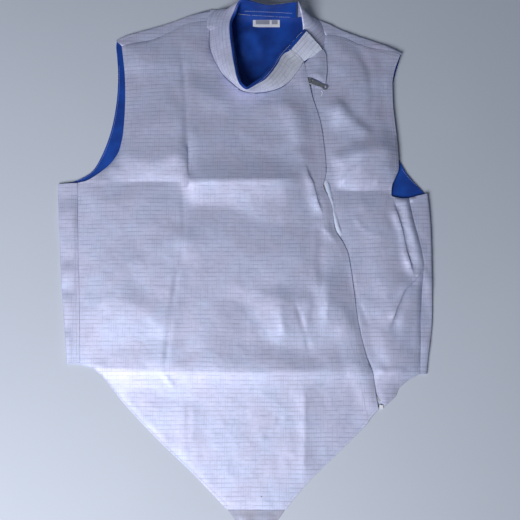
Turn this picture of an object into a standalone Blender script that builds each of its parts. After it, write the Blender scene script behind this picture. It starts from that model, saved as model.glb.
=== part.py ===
"""Sleeveless fencing over-jacket of metallic cloth, laid flat with its front up.

Units in the tables are millimetres; the objects are made in metres, +Z up.
X runs to the wearer's left, Y towards the collar, and the cloth lies on Z = 0.
"""
from collections import namedtuple
from math import cos, exp, hypot, pi, radians, sin

import bpy
from mathutils import Vector
from mathutils.geometry import delaunay_2d_cdt

# Driving dimensions
GAP = 0.3                 # between neighbouring pieces
SIDE_STATIONS = 16        # profiles along each turned side of the back
SHOULDER_STATIONS = 12    # and along each turned shoulder
FOLD_STEPS = 4            # faces round a fold of the back
BACK_CLOTH = 1.0          # wall of the back and of its lining
FRONT_CLOTH = 1.1         # wall of the fronts
COLLAR_CLOTH = 1.1        # outer wall of the collar
COLLAR_LINING = 0.9       # inner wall of the collar
TAPE_CLOTH = 1.0          # zip tape
TAPE_HALF_WIDTH = 12.0
CHAIN_WIDTH = 5.0
CHAIN_HEIGHT = 1.3
LATTICE = 16.0            # spacing of the points inside a panel
EDGE_STEP = 13.0          # spacing of the points along an outline
METRE = 0.001

# The layers, bottom to top
BACK_TOP = BACK_CLOTH
LINING_BOTTOM = BACK_TOP + GAP
LINING_TOP = LINING_BOTTOM + BACK_CLOTH
FRONT_BASE = LINING_TOP + GAP
TAPE_LIFT = TAPE_CLOTH + GAP
CHAIN_LIFT = TAPE_LIFT + CHAIN_HEIGHT + GAP

# The fronts stay raised this far from the middle of the zip, and come down over the next stretch
TAPE_SHELF, TAPE_RAMP = 14.0, 12.0
CHAIN_SHELF, CHAIN_RAMP = 8.0, 22.0

# Centre of the finished outline, which becomes the origin
CENTRE_X = -2.5
CENTRE_Y = 7.5

Spot = namedtuple("Spot", "x y")

# Outline of the body: the side folds, where the back turns to the front, and the side seams
LEFT_FOLD = [Spot(-255, 105), Spot(-253, 68), Spot(-249, 26), Spot(-245, -23), Spot(-236, -103), Spot(-232, -137)]
LEFT_SEAM = [Spot(-228, 106), Spot(-225.5, 60), Spot(-223, 10), Spot(-219.5, -39), Spot(-216.5, -95),
             Spot(-214.5, -136)]
RIGHT_FOLD = [Spot(247.5, 91.5), Spot(250, 53), Spot(249.5, -8), Spot(247, -83), Spot(242, -114), Spot(237, -150)]
RIGHT_SEAM = [Spot(221, 84.5), Spot(226, 55), Spot(234, 22), Spot(238, -8), Spot(234, -40), Spot(231, -88),
              Spot(228, -150)]
BACK_HEM = [Spot(-230, -137), Spot(-215, -137), Spot(-190, -144.5), Spot(-111, -149), Spot(0, -150),
            Spot(236, -150.5)]

# Armholes: the back's edge and the front's edge
LEFT_ARM_BACK = [Spot(-183.5, 314), Spot(-179, 275), Spot(-178, 241), Spot(-180.5, 208), Spot(-186.5, 175),
                 Spot(-198, 142), Spot(-211, 121), Spot(-235, 108), Spot(-252, 105.2)]
LEFT_ARM_FRONT = [Spot(-174, 304.6), Spot(-169, 267), Spot(-167, 233), Spot(-167, 199), Spot(-169, 170),
                  Spot(-173, 151.5), Spot(-185, 132), Spot(-203, 116), Spot(-214, 109.5), Spot(-227.6, 106.2)]
RIGHT_ARM_BACK = [Spot(220, 294), Spot(214, 281), Spot(207, 257), Spot(202, 234), Spot(199, 205), Spot(200, 175),
                  Spot(204, 152), Spot(210.7, 138), Spot(218.7, 122), Spot(231.5, 105), Spot(244, 92.5)]
RIGHT_ARM_FRONT = [Spot(216, 290.5), Spot(208, 269.5), Spot(204.5, 254), Spot(203.7, 234), Spot(204, 212),
                   Spot(206.5, 182), Spot(208.5, 155), Spot(208.5, 125), Spot(203, 112), Spot(198.7, 102),
                   Spot(197.7, 89)]
UNDERARM_EDGE = [Spot(199.5, 86.5), Spot(210, 84.5), Spot(220.6, 84.4)]

# Shoulders: the top fold and the seam just in front of it
LEFT_SHOULDER_FOLD = [Spot(-183.5, 314), Spot(-178, 318.5), Spot(-156, 326), Spot(-130.5, 333), Spot(-100, 343.5),
                      Spot(-72, 355), Spot(-50.5, 361)]
LEFT_SHOULDER_SEAM = [Spot(-174, 305), Spot(-166, 307.5), Spot(-150, 310.5), Spot(-133, 313), Spot(-98, 330.5),
                      Spot(-80, 340), Spot(-52, 342)]
RIGHT_SHOULDER_FOLD = [Spot(220, 294.8), Spot(201, 304.7), Spot(182, 312.5), Spot(161, 320), Spot(140, 327.5),
                       Spot(122.5, 337), Spot(102, 346)]
RIGHT_SHOULDER_SEAM = [Spot(216.5, 291), Spot(199, 298), Spot(181.5, 300), Spot(156, 308), Spot(141, 316),
                       Spot(131, 319), Spot(112.5, 321.5)]
BACK_NECK = [Spot(100, 346), Spot(88, 349), Spot(72, 348), Spot(31, 349), Spot(-10, 352), Spot(-32, 358),
             Spot(-48, 360.5)]

# Front opening: the edge of the placket and the middle of the zip under it
PLACKET_EDGE = [Spot(81.3, 279), Spot(84.6, 262.7), Spot(88.2, 246.7), Spot(92.2, 228.8), Spot(102, 195.5),
                Spot(106.5, 165.7), Spot(109.7, 122.3), Spot(105, 103), Spot(107.8, 95), Spot(114.5, 80.5),
                Spot(118, 66), Spot(120, 42.5), Spot(126.3, 30.5), Spot(136.3, 10.8), Spot(142, -25.6),
                Spot(147.6, -77.3), Spot(152.8, -106), Spot(159.4, -132), Spot(165.9, -148), Spot(169.8, -178),
                Spot(172.7, -194)]
ZIP_LINE = [Spot(89, 286), Spot(89, 244), Spot(91, 229), Spot(96.8, 196), Spot(101.6, 166), Spot(104, 130),
            Spot(107.8, 100.5), Spot(114.3, 75), Spot(121, 48.7), Spot(130.5, 10.8), Spot(136.5, -25.6),
            Spot(142, -77), Spot(147, -106), Spot(154, -132), Spot(160, -150), Spot(165.5, -170),
            Spot(172, -182), Spot(176.2, -188), Spot(176.9, -192)]

# Hem of the groin V and of the wearer's left front
V_LEFT = [Spot(-214.3, -136.4), Spot(-203.7, -139.3), Spot(-186.4, -151), Spot(-154, -189.5), Spot(-111, -233),
          Spot(-69, -271.6), Spot(-21.5, -319)]
V_RIGHT = [Spot(52, -319), Spot(82.7, -283.8), Spot(124.6, -245), Spot(156, -214.6), Spot(163.3, -204.2),
           Spot(172.4, -194.3)]
LEFT_FRONT_HEM = [Spot(179.8, -192), Spot(190, -183.2), Spot(195.2, -178.7), Spot(200.5, -168), Spot(214, -156.5),
                  Spot(227.4, -152)]
CROTCH_TAB = [Spot(-20.5, -319.5), Spot(51, -319.5), Spot(32, -346), Spot(0, -346)]

# Stand collar, a row for each station: foot on the neckline, top edge, and how far the blue rim shows
Station = namedtuple("Station", "foot_x foot_y top_x top_y top_z rim")
COLLAR_RIGHT = [
    Station(-12, 353, 1, 357.5, 38, 1.0),
    Station(-28, 356.5, -6, 357, 36, 1.0),
    Station(-41, 353.5, -10.5, 352, 31, 1.0),
    Station(-48.5, 346, -14, 345, 26, 1.0),
    Station(-51, 337, -18, 337, 24, 1.0),
    Station(-51, 325, -20.6, 326, 25, 1.0),
    Station(-51, 305, -19.2, 305, 24, 1.0),
    Station(-45, 287, -15.6, 280.7, 24, 1.0),
    Station(-36, 268.5, -12.7, 261.6, 29, 1.2),
    Station(-27.5, 258, -10.3, 247.6, 32, 1.4),
    Station(-16, 247.5, -6.2, 236.2, 33, 1.6),
    Station(-6, 239.5, -0.8, 230, 33, 1.8),
    Station(4, 236.5, 3.5, 229.5, 32, 2.0),
    Station(15, 235.5, 9.3, 235.6, 30, 2.0),
    Station(36, 238.5, 22, 246.5, 27, 2.0),
    Station(53.5, 246, 30.3, 257, 24, 2.2),
    Station(64.5, 256.5, 39.6, 271, 21, 2.8),
    Station(73.5, 268.5, 49, 289.4, 18, 3.8),
    Station(77.5, 274.5, 54.5, 293, 17, 4.3),
]
COLLAR_TAB = [
    Station(81.6, 280.8, 59.3, 297, 17.5, 4.6),
    Station(90, 286, 67, 306, 17.5, 4.4),
    Station(99.5, 292, 74.5, 315.5, 17, 4.2),
    Station(108, 298.5, 81.5, 324.5, 16, 4.0),
]
COLLAR_BACK = [
    Station(72, 348, 70.7, 354.5, 37, 1.4),
    Station(53, 349, 53, 353.5, 35, 1.4),
    Station(31, 349.5, 31.6, 353.3, 31, 1.4),
    Station(10, 350.5, 13, 354.5, 37, 1.4),
]
COLLAR_LEFT = [
    Station(109.5, 302, 82.8, 327.5, 12.5, 0.0),
    Station(109, 318, 82, 331, 13.5, 0.0),
    Station(106.5, 331, 81, 335, 17, 0.0),
    Station(99, 343, 79, 340.5, 24, 0.0),
    Station(88, 349, 76.8, 348, 31, 0.0),
    Station(74, 348.6, 72.8, 354, 37, 0.0),
]

# Folds pressed into the fronts, a row for each: the ends of its crest, half width and height
Fold = namedtuple("Fold", "x0 y0 x1 y1 half_width height")
FOLDS = [
    Fold(-205, 109, 60, 108, 20, 3.4),       # press fold across the chest
    Fold(120, 108, 185, 107, 18, 2.6),
    Fold(-78, 262, -82, 125, 15, 2.2),       # press fold down the wearer's right side
    Fold(-86, 30, -104, -128, 17, 2.6),
    Fold(60, 212, 78, 140, 13, 3.6),         # beside the placket
    Fold(49, -55, 50, -92, 12, 2.4),
    Fold(108, -30, 110, -84, 11, 2.4),
    Fold(-190, -140, 150, -140, 14, 1.8),    # where the front falls over the hem of the back
    Fold(77, -176, 78, -268, 12, 1.8),       # down the groin V
    Fold(-72, -196, -73, -250, 12, 1.6),
    Fold(212, -38, 196, -76, 12, 3.0),       # below the underarm pleat
    Fold(165, 262, 178, 200, 16, 2.4),
]
LINING_START = 0.13       # share of the collar's height at which its lining starts
COLLAR_BULGE = 1.6        # how far its wall rounds out between foot and top edge
COLLAR_POINTS = 5         # points from the foot to the top edge
ROWS_PER_STATION = 2
TAB_START = 81.2
NECK_HUSH = 26.0          # no fold comes nearer to the collar than this
NECK_CENTRE = Spot(22, 292)
NECK_RADII = Spot(92, 66)

# Underarm pleat: its sharp edge, and the rise of the cloth that lies over it
PLEAT_EDGE = [Spot(197, 90), Spot(202.5, 67.5), Spot(210, 40), Spot(215, 10), Spot(221, -13), Spot(225, -24)]
PLEAT_RISE = 2.4
PLEAT_SLOPE = 2.0
PLEAT_END = -18.0
PLEAT_FADE = 26.0
HEM_CLEAR = 0.8           # the fronts leave the back's level this far beyond its hem
HEM_DROP = 6.5            # and reach the floor over this length

# Zip slider and pull
PIVOT_X, PIVOT_Y = 89.8, 251.6
PULL_ANGLE = radians(-23.4)
PULL_DROOP = radians(3.3)
PULL_LENGTH = 26.0
PULL_WIDTH = 6.4
PULL_THICKNESS = 1.3
RING_RADIUS = 3.9
RING_HOLE = 2.0
BAR_RADIUS = 0.7
BAR_HALF_LENGTH = 2.9
ARM_WIDTH = 1.3
WINDOW_LENGTH = 3.4
BRIDGE_WIDTH = 2.2
BRIDGE_THICKNESS = 0.8
PIVOT_RISE = 1.2          # of the pull's bar above the slider
SLIDER_WIDTH = 8.6
SLIDER_LENGTH = 12.0
SLIDER_HEIGHT = 2.4
SLIDER_LIFT = 1.7
SLIDER_ROOM = 1.6         # the cloth beside the zip is cut back this far for the slider

# Label on the lining, under the collar
LABEL_LEFT, LABEL_RIGHT = 10.0, 48.0
LABEL_BOTTOM, LABEL_TOP = 334.2, 346.6
LABEL_THICKNESS = 0.8


def along(spots, step=EDGE_STEP):
    """Points on a smooth curve through the spots, at most step apart."""
    ends = [spots[0]] + list(spots) + [spots[-1]]
    points = []
    for a, b, c, d in zip(ends, ends[1:], ends[2:], ends[3:]):
        pieces = max(1, round(hypot(c.x - b.x, c.y - b.y) / step))
        for i in range(pieces):
            t = i / pieces
            points.append(tuple(blend(t, p, q, r, s) for p, q, r, s in zip(a, b, c, d)))
    points.append(tuple(spots[-1]))
    return points


def blend(t, a, b, c, d):
    """Catmull-Rom value between b and c."""
    return 0.5 * (2 * b + (c - a) * t + (2 * a - 5 * b + 4 * c - d) * t * t + (3 * b - a - 3 * c + d) * t ** 3)


def resample(points, count):
    """The given number of points, evenly spaced along a polyline."""
    lengths = [0.0]
    for p, q in zip(points, points[1:]):
        lengths.append(lengths[-1] + hypot(q[0] - p[0], q[1] - p[1]))
    result = []
    k = 0
    for i in range(count):
        goal = lengths[-1] * i / (count - 1)
        while k < len(points) - 2 and lengths[k + 1] < goal:
            k += 1
        t = ramp((goal - lengths[k]) / max(lengths[k + 1] - lengths[k], 1e-9))
        p, q = points[k], points[k + 1]
        result.append((p[0] + (q[0] - p[0]) * t, p[1] + (q[1] - p[1]) * t))
    return result


def line_x(spots, y):
    """X of a nearly upright line at the height y."""
    if y >= spots[0].y:
        return spots[0].x
    for p, q in zip(spots, spots[1:]):
        if q.y <= y <= p.y:
            return p.x + (q.x - p.x) * (p.y - y) / (p.y - q.y)
    return spots[-1].x


def line_y(spots, x):
    """Y of a nearly level line at the place x."""
    if x <= spots[0].x:
        return spots[0].y
    for p, q in zip(spots, spots[1:]):
        if p.x <= x <= q.x:
            return p.y + (q.y - p.y) * (x - p.x) / (q.x - p.x)
    return spots[-1].y


def ramp(t):
    """The share t, kept between 0 and 1."""
    return min(max(t, 0.0), 1.0)


def smooth(t):
    """Goes gently from 0 to 1 while t does."""
    t = ramp(t)
    return t * t * (3 - 2 * t)


def off_segment(x, y, fold):
    """Distance from a fold's crest line."""
    dx, dy = fold.x1 - fold.x0, fold.y1 - fold.y0
    t = ((x - fold.x0) * dx + (y - fold.y0) * dy) / (dx * dx + dy * dy)
    t = ramp(t)
    return hypot(x - fold.x0 - dx * t, y - fold.y0 - dy * t)


# Heights of the layers


def base(x, y):
    """Underside of the fronts: on the back, and on the floor beyond the back's hem."""
    beyond = line_y(BACK_HEM, x) - HEM_CLEAR - y
    return FRONT_BASE * (1.0 - ramp(beyond / HEM_DROP))


def folds(x, y):
    """Rise of the folds in the fronts, which die away towards the collar and the edges."""
    rise = sum(f.height * exp(-(off_segment(x, y, f) / f.half_width) ** 2 * 1.6) for f in FOLDS)
    nearness = hypot((x - NECK_CENTRE.x) / NECK_RADII.x, (y - NECK_CENTRE.y) / NECK_RADII.y)
    calm = smooth((nearness - 1.0) * NECK_RADII.y / NECK_HUSH)
    side = smooth((x - line_x(LEFT_SEAM, y)) / 14.0)
    return rise * calm * side


def pleat(x, y):
    """Rise of the cloth that lies over the underarm pleat."""
    over = smooth((x - line_x(PLEAT_EDGE, y)) / PLEAT_SLOPE)
    fade = smooth((y - PLEAT_END + PLEAT_FADE) / PLEAT_FADE)
    return PLEAT_RISE * over * fade


def chain_x(y):
    """Centre line of the zip."""
    return line_x(ZIP_LINE, y)


def under_edge():
    """Edge of the wearer's left front, beside the zip's teeth, from top to bottom."""
    points = []
    for y in zip_rows(ZIP_LINE[0].y, ZIP_LINE[-1].y):
        room = SLIDER_ROOM * smooth((y - 238.0) / 5.0)
        points.append((chain_x(y) + CHAIN_WIDTH / 2 + GAP + 0.2 + room, y))
    return points


def zip_rows(top, bottom):
    """Heights of rows along the zip: its own stations and the two lines at the hem of the back."""
    hem = line_y(BACK_HEM, chain_x(BACK_HEM[-1].y))
    rows = [hem - HEM_CLEAR, hem - HEM_CLEAR - HEM_DROP]
    rows += [s.y for s in ZIP_LINE if all(abs(s.y - h) > 2.0 for h in rows)]
    return sorted({top, bottom} | {y for y in rows if bottom < y < top}, reverse=True)


def slider_bump(x, y):
    """Rise of the cloth that lies over the slider."""
    away = hypot(x - PIVOT_X, y - PIVOT_Y)
    return SLIDER_LIFT * (1.0 - smooth((away - 8.0) / 14.0))


def left_under(x, y):
    """Underside of the wearer's left front, raised over the zip tape."""
    away = x - chain_x(y)
    lift = TAPE_LIFT * (1.0 - ramp((away - TAPE_SHELF) / TAPE_RAMP))
    below_arm = smooth((away - 10.0) / 16.0)
    return base(x, y) + lift + folds(x, y) * below_arm + pleat(x, y)


def right_under(x, y):
    """Underside of the wearer's right front, raised over the zip."""
    away = chain_x(y) - x
    lift = CHAIN_LIFT * (1.0 - ramp((away - CHAIN_SHELF) / CHAIN_RAMP))
    over_zip = 0.15 + 0.85 * smooth(away / 10.0)
    return base(x, y) + lift + folds(x, y) * over_zip + slider_bump(x, y)


def front_under(x, y):
    """Underside of whichever front is at this place, for the strips beside their seams."""
    return right_under(x, y) if x < chain_x(y) else left_under(x, y)


def front_top(x, y):
    return front_under(x, y) + FRONT_CLOTH


# Solids


def make_object(name, corners, faces, material, smooth_angle=40):
    mesh = bpy.data.meshes.new(name)
    shift = Vector((CENTRE_X, CENTRE_Y, 0.0))
    mesh.from_pydata([(Vector(c) - shift) * METRE for c in corners], [], faces)
    mesh.materials.append(material)
    piece = bpy.data.objects.new(name, mesh)
    bpy.context.scene.collection.objects.link(piece)
    mesh.shade_smooth()
    mesh.set_sharp_from_angle(angle=radians(smooth_angle))
    return piece


def wall(name, upper, lower, faces, material):
    """A closed wall between two skins that share their faces; the upper skin faces out."""
    count = len(upper)
    skins = [tuple(f) for f in faces] + [tuple(i + count for i in reversed(f)) for f in faces]
    used = {}
    for face in faces:
        for a, b in zip(face, face[1:] + face[:1]):
            used[(a, b)] = True
    rims = [(b, a, a + count, b + count) for a, b in used if (b, a) not in used]
    return make_object(name, upper + lower, skins + rims, material)


def triangles(outline, guides=(), lattice=LATTICE):
    """Points and upward triangles inside an outline, with guide lines kept as edges."""
    spots = [Vector(p) for p in outline]
    edges = []
    for line in guides:
        first = len(spots)
        spots += [Vector(p) for p in line]
        edges += [(first + i, first + i + 1) for i in range(len(line) - 1)]
    if lattice:
        spots += [Vector(p) for p in lattice_points(outline, spots, lattice)]
    ring = list(range(len(outline)))
    points, _, faces, origins, _, _ = delaunay_2d_cdt(spots, edges, [ring], 1, 1e-5)
    place = {}
    for k, sources in enumerate(origins):
        for source in sources:
            place[source] = k
    return [tuple(p) for p in points], upward(points, faces), place


def upward(points, faces):
    """The same faces, all turned counter-clockwise."""
    turned = []
    for face in faces:
        a, b, c = (points[i] for i in face[:3])
        area = (b[0] - a[0]) * (c[1] - a[1]) - (b[1] - a[1]) * (c[0] - a[0])
        turned.append(tuple(face) if area > 0 else tuple(reversed(face)))
    return turned


def lattice_points(outline, taken, pitch):
    """Staggered rows of points inside an outline, clear of the points already there."""
    xs = [p[0] for p in outline]
    ys = [p[1] for p in outline]
    rows = int((max(ys) - min(ys)) / (pitch * 0.87)) + 1
    found = []
    for j in range(rows):
        y = min(ys) + (j + 0.5) * pitch * 0.87
        start = min(xs) + (0.25 if j % 2 else 0.75) * pitch
        for i in range(int((max(xs) - start) / pitch) + 1):
            x = start + i * pitch
            if inside(x, y, outline) and all(hypot(x - p[0], y - p[1]) > pitch * 0.55 for p in taken):
                found.append((x, y))
    return found


def inside(x, y, outline):
    hit = False
    for (ax, ay), (bx, by) in zip(outline, outline[1:] + outline[:1]):
        if (ay > y) != (by > y) and x < (bx - ax) * (y - ay) / (by - ay) + ax:
            hit = not hit
    return hit


def clipped(line, outline):
    """The points of a guide line that lie well inside an outline."""
    kept = []
    for x, y in line:
        clear = all(hypot(x - p[0], y - p[1]) > 3.0 for p in outline)
        if clear and inside(x, y, outline):
            kept.append((x, y))
    return kept


def panel(name, outline, under, thickness, material, guides=(), crossing=(), lattice=LATTICE):
    """A cloth panel over its outline, on the surface it is given; crossing guides reach over its edge."""
    kept = [clipped(g, outline) for g in guides]
    points, faces, _ = triangles(outline, [g for g in kept if len(g) > 1] + list(crossing), lattice)
    lower = [(x, y, under(x, y)) for x, y in points]
    upper = [(x, y, z + thickness) for x, y, z in lower]
    return wall(name, upper, lower, faces, material)


def tidy_ring(points, nearest=1.2):
    """An outline with no two neighbours closer than the given distance."""
    ring = []
    for p in points:
        if not ring or hypot(p[0] - ring[-1][0], p[1] - ring[-1][1]) > nearest:
            ring.append(p)
    while hypot(ring[0][0] - ring[-1][0], ring[0][1] - ring[-1][1]) <= nearest:
        ring.pop()
    return ring


# The back, with its turned sides and shoulders


def turned_edge(fold_line, seam_line, count):
    """Profiles between a fold and the seam where the turned cloth ends."""
    pairs = zip(resample(along(fold_line), count), resample(along(seam_line), count))
    return [turn_profile(fold, seam) for fold, seam in pairs]


def turn_profile(fold, seam):
    """Outer and inner points from the flat back, round the fold, to the seam."""
    dx, dy = seam[0] - fold[0], seam[1] - fold[1]
    span = hypot(dx, dy)
    dx, dy = dx / span, dy / span
    top = front_top(*seam)
    radius = top / 2
    outer, inner = [], []
    for i in range(FOLD_STEPS + 1):
        angle = -pi / 2 + pi * i / FOLD_STEPS
        for skin, reach in ((outer, radius), (inner, radius - BACK_CLOTH)):
            inward = radius - reach * cos(angle)
            skin.append((fold[0] + dx * inward, fold[1] + dy * inward, radius + reach * sin(angle)))
    start = radius
    end = span - GAP / 2 - 0.05
    for share in (0.5, 1.0):
        reach = start + (end - start) * share
        x, y = fold[0] + dx * reach, fold[1] + dy * reach
        z = top + (front_top(x, y) - top) * share
        outer.append((x, y, z))
        inner.append((x, y, z - BACK_CLOTH))
    return outer, inner


def back_edges():
    """The four turned edges of the back, each a list of profiles, in order round the outline."""
    left = turned_edge(LEFT_FOLD, LEFT_SEAM, SIDE_STATIONS)
    right = turned_edge(RIGHT_FOLD, RIGHT_SEAM, SIDE_STATIONS)[::-1]
    over_right = turned_edge(RIGHT_SHOULDER_FOLD, RIGHT_SHOULDER_SEAM, SHOULDER_STATIONS)
    over_left = turned_edge(LEFT_SHOULDER_FOLD, LEFT_SHOULDER_SEAM, SHOULDER_STATIONS)[::-1]
    return left, right, over_right, over_left


def back_outline(edges, inset=0.0):
    """Flat part of the back, counter-clockwise, and where each turned edge starts in it."""
    left, right, over_right, over_left = edges

    def foot(profile):
        (x0, y0, _), (x1, y1, _) = profile[0][0], profile[0][-1]
        span = hypot(x1 - x0, y1 - y0)
        return (x0 + (x1 - x0) / span * inset, y0 + (y1 - y0) / span * inset)

    ring = []
    starts = []
    free = [along(BACK_HEM)[1:-1], along(RIGHT_ARM_BACK)[::-1][1:-1], along(BACK_NECK)[1:-1],
            along(LEFT_ARM_BACK)[1:-1]]
    for profiles, edge in zip((left, right, over_right, over_left), free):
        starts.append(len(ring))
        ring += [foot(p) for p in profiles]
        ring += edge
    return ring, starts


def make_back(material):
    edges = back_edges()
    ring, starts = back_outline(edges)
    points, faces, place = triangles(ring, lattice=0)
    outer = [(x, y, 0.0) for x, y in points]
    inner = [(x, y, BACK_TOP) for x, y in points]
    skin = [tuple(reversed(f)) for f in faces]
    for profiles, start in zip(edges, starts):
        rows = []
        for k, (out_line, in_line) in enumerate(profiles):
            row = [place[start + k]]
            for out_point, in_point in list(zip(out_line, in_line))[1:]:
                row.append(len(outer))
                outer.append(out_point)
                inner.append(in_point)
            rows.append(row)
        for low, high in zip(rows, rows[1:]):
            for a, b, c, d in zip(low, low[1:], high[1:], high):
                skin.append((a, d, c, b))
    return wall("back", outer, inner, skin, material)


def make_back_lining(material):
    ring, _ = back_outline(back_edges(), inset=GAP + 0.2)
    panel("back_lining", ring, lambda x, y: LINING_BOTTOM, BACK_CLOTH, material, lattice=0)


# The fronts


def inset_line(points, side, amount):
    """A line moved sideways by the amount; side is 1 for its left and -1 for its right."""
    moved = []
    for i, (x, y) in enumerate(points):
        ax, ay = points[max(i - 1, 0)]
        bx, by = points[min(i + 1, len(points) - 1)]
        span = hypot(bx - ax, by - ay)
        moved.append((x - (by - ay) / span * side * amount, y + (bx - ax) / span * side * amount))
    return moved


def right_front_outline():
    seam = GAP / 2 + 0.05
    side = inset_line(resample(along(LEFT_SEAM), SIDE_STATIONS), 1, seam)
    shoulder = inset_line(resample(along(LEFT_SHOULDER_SEAM), SHOULDER_STATIONS), -1, seam)[::-1]
    feet = [Spot(s.foot_x, s.foot_y) for s in COLLAR_TAB[:1] + COLLAR_RIGHT[:4:-1]]
    neck = inset_line(along(feet + [Spot(-51.5, 338)], 8.0), 1, 0.6)
    hem = along(V_LEFT) + along(V_RIGHT)
    placket = along(PLACKET_EDGE, 9.0)[::-1]
    return tidy_ring(along(LEFT_ARM_FRONT) + side[1:] + hem[1:] + placket + neck + shoulder)


def left_front_outline():
    seam = GAP / 2 + 0.05
    side = inset_line(resample(along(RIGHT_SEAM), SIDE_STATIONS), -1, seam)[::-1]
    shoulder = inset_line(resample(along(RIGHT_SHOULDER_SEAM), SHOULDER_STATIONS), 1, seam)
    neck = [(111, 312), (110.5, 303), (108.5, 298.6), (99.5, 292)]
    arm = along(UNDERARM_EDGE)[::-1] + along(RIGHT_ARM_FRONT)[::-1]
    return tidy_ring(under_edge() + along(LEFT_FRONT_HEM)[:-1] + side[:-1] + arm + shoulder + neck)


def fold_guides():
    """Crest and feet of each fold, so that the panels' edges follow them."""
    lines = []
    for fold in FOLDS:
        length = hypot(fold.x1 - fold.x0, fold.y1 - fold.y0)
        nx, ny = -(fold.y1 - fold.y0) / length, (fold.x1 - fold.x0) / length
        for offset in (-0.55, 0.0, 0.55):
            shift = offset * fold.half_width
            count = max(2, int(length / 20.0))
            lines.append([(fold.x0 + (fold.x1 - fold.x0) * i / count + nx * shift,
                           fold.y0 + (fold.y1 - fold.y0) * i / count + ny * shift) for i in range(count + 1)])
    return lines


def hem_guides():
    """The two lines between which the fronts come down to the floor."""
    lines = []
    for drop in (HEM_CLEAR, HEM_CLEAR + HEM_DROP):
        middle = chain_x(BACK_HEM[-1].y - drop)
        marks = [middle - CHAIN_SHELF - CHAIN_RAMP, middle - CHAIN_SHELF, middle, middle + TAPE_SHELF,
                 middle + TAPE_SHELF + TAPE_RAMP]
        marks += [x for x in arc(-197, 238, 28) if all(abs(x - m) > 5.0 for m in marks)]
        lines.append([(x, line_y(BACK_HEM, x) - drop) for x in sorted(marks)])
    return lines


def zip_guides(offsets):
    """Lines beside the zip at the given distances from its middle."""
    return [[(chain_x(y) + offset, y) for y in arc(291, -188, 40)] for offset in offsets]


def pleat_guides():
    return [[(p.x + shift, p.y) for p in PLEAT_EDGE[1:-1]] for shift in (-0.2, PLEAT_SLOPE + 0.2)]


def make_fronts(material):
    hem = hem_guides()
    lines = fold_guides()
    beside = zip_guides((-CHAIN_SHELF - CHAIN_RAMP, -CHAIN_SHELF))
    panel("front_right", right_front_outline(), right_under, FRONT_CLOTH, material, beside + lines, hem)
    beside = zip_guides((TAPE_SHELF, TAPE_SHELF + TAPE_RAMP))
    panel("front_left", left_front_outline(), left_under, FRONT_CLOTH, material, beside + pleat_guides() + lines,
          hem)


def make_crotch_tab(material):
    outline = [(s.x, s.y) for s in CROTCH_TAB]
    panel("crotch_tab", outline, lambda x, y: 0.0, FRONT_CLOTH, material, lattice=0)


# Collar


def collar_rows():
    """Foot and top edge all round the collar, from the nape to the end of the tab, and the rim's width."""
    table = [tuple(s) for s in COLLAR_BACK + COLLAR_RIGHT + COLLAR_TAB]
    return smooth_rows(table)


def smooth_rows(table):
    """Rows on smooth curves through a table's rows, the first of each station being the station itself."""
    ends = [table[0]] + table + [table[-1]]
    rows = []
    for a, b, c, d in zip(ends, ends[1:], ends[2:], ends[3:]):
        for i in range(ROWS_PER_STATION):
            rows.append(tuple(blend(i / ROWS_PER_STATION, *v) for v in zip(a, b, c, d)))
    rows.append(table[-1])
    return rows


def collar_grid(rows, level):
    """Points from the foot to the top edge for each row, and their outward normals."""
    grid = []
    for fx, fy, tx, ty, tz, _ in rows:
        foot = Vector((fx, fy, level(fx, fy)))
        grid.append([foot.lerp(Vector((tx, ty, tz)), k / (COLLAR_POINTS - 1)) for k in range(COLLAR_POINTS)])
    return grid, grid_normals(grid)


def skin_line(points, normals, shares, offset):
    """The given shares of a row, from foot to top edge, moved inwards by the offset."""
    line = []
    for share in shares:
        lower = min(int(share * (COLLAR_POINTS - 1)), COLLAR_POINTS - 2)
        rest = share * (COLLAR_POINTS - 1) - lower
        point = points[lower].lerp(points[lower + 1], rest)
        normal = normals[lower].lerp(normals[lower + 1], rest)
        line.append(point + normal * (COLLAR_BULGE * 4 * share * (1 - share) - offset))
    return line


def row_shares(points, rim):
    """Shares of a row's height: its foot, the lining's start, two between, the rim's start and the top."""
    end = 1.0 - rim / (points[-1] - points[0]).length
    between = [LINING_START + (end - LINING_START) * i / 3 for i in range(4)]
    return [0.0] + between + [1.0]


def grid_normals(grid):
    """Unit normals of a grid of points, pointing out of the collar."""
    normals = []
    for j, row in enumerate(grid):
        before, after = grid[max(j - 1, 0)], grid[min(j + 1, len(grid) - 1)]
        line = []
        for k in range(len(row)):
            up = row[min(k + 1, len(row) - 1)] - row[max(k - 1, 0)]
            line.append((after[k] - before[k]).cross(up).normalized())
        normals.append(line)
    return normals


def collar_wall(name, rows, grid, normals, thickness, material, offset=0.0, span=slice(0, 5)):
    """A stretch of the collar: a closed wall whose outer skin follows the rows of a grid."""
    skins = [[skin_line(points, line, row_shares(points, row[5])[span], reach)
              for row, points, line in zip(rows, grid, normals)] for reach in (offset, offset + thickness)]
    for skin in skins:
        pull_in(skin, 0, 1)
        pull_in(skin, -1, -2)
    outer, inner = ([tuple(p) for row in skin for p in row] for skin in skins)
    across = len(skins[0][0])
    faces = []
    for j in range(len(rows) - 1):
        for k in range(across - 1):
            a = j * across + k
            b = a + across
            faces += [(a, b, b + 1), (a, b + 1, a + 1)]
    return wall(name, outer, inner, faces, material)


def pull_in(skin, end, before):
    """Moves the last row of a skin back by half the gap between two pieces."""
    for k, point in enumerate(skin[end]):
        run = skin[before][k] - point
        skin[end][k] = point + run.normalized() * min(GAP / 2 + 0.02, run.length / 3)


def collar_level(x, y):
    """Foot of the collar, just above the cloth that it is sewn to: the lining at the nape, the fronts elsewhere."""
    nape = smooth((y - 344.0) / 3.0) * (1.0 - smooth((abs(x - NECK_CENTRE.x) - 58.0) / 14.0))
    return front_top(x, y) + (LINING_TOP - front_top(x, y)) * nape + GAP


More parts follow.
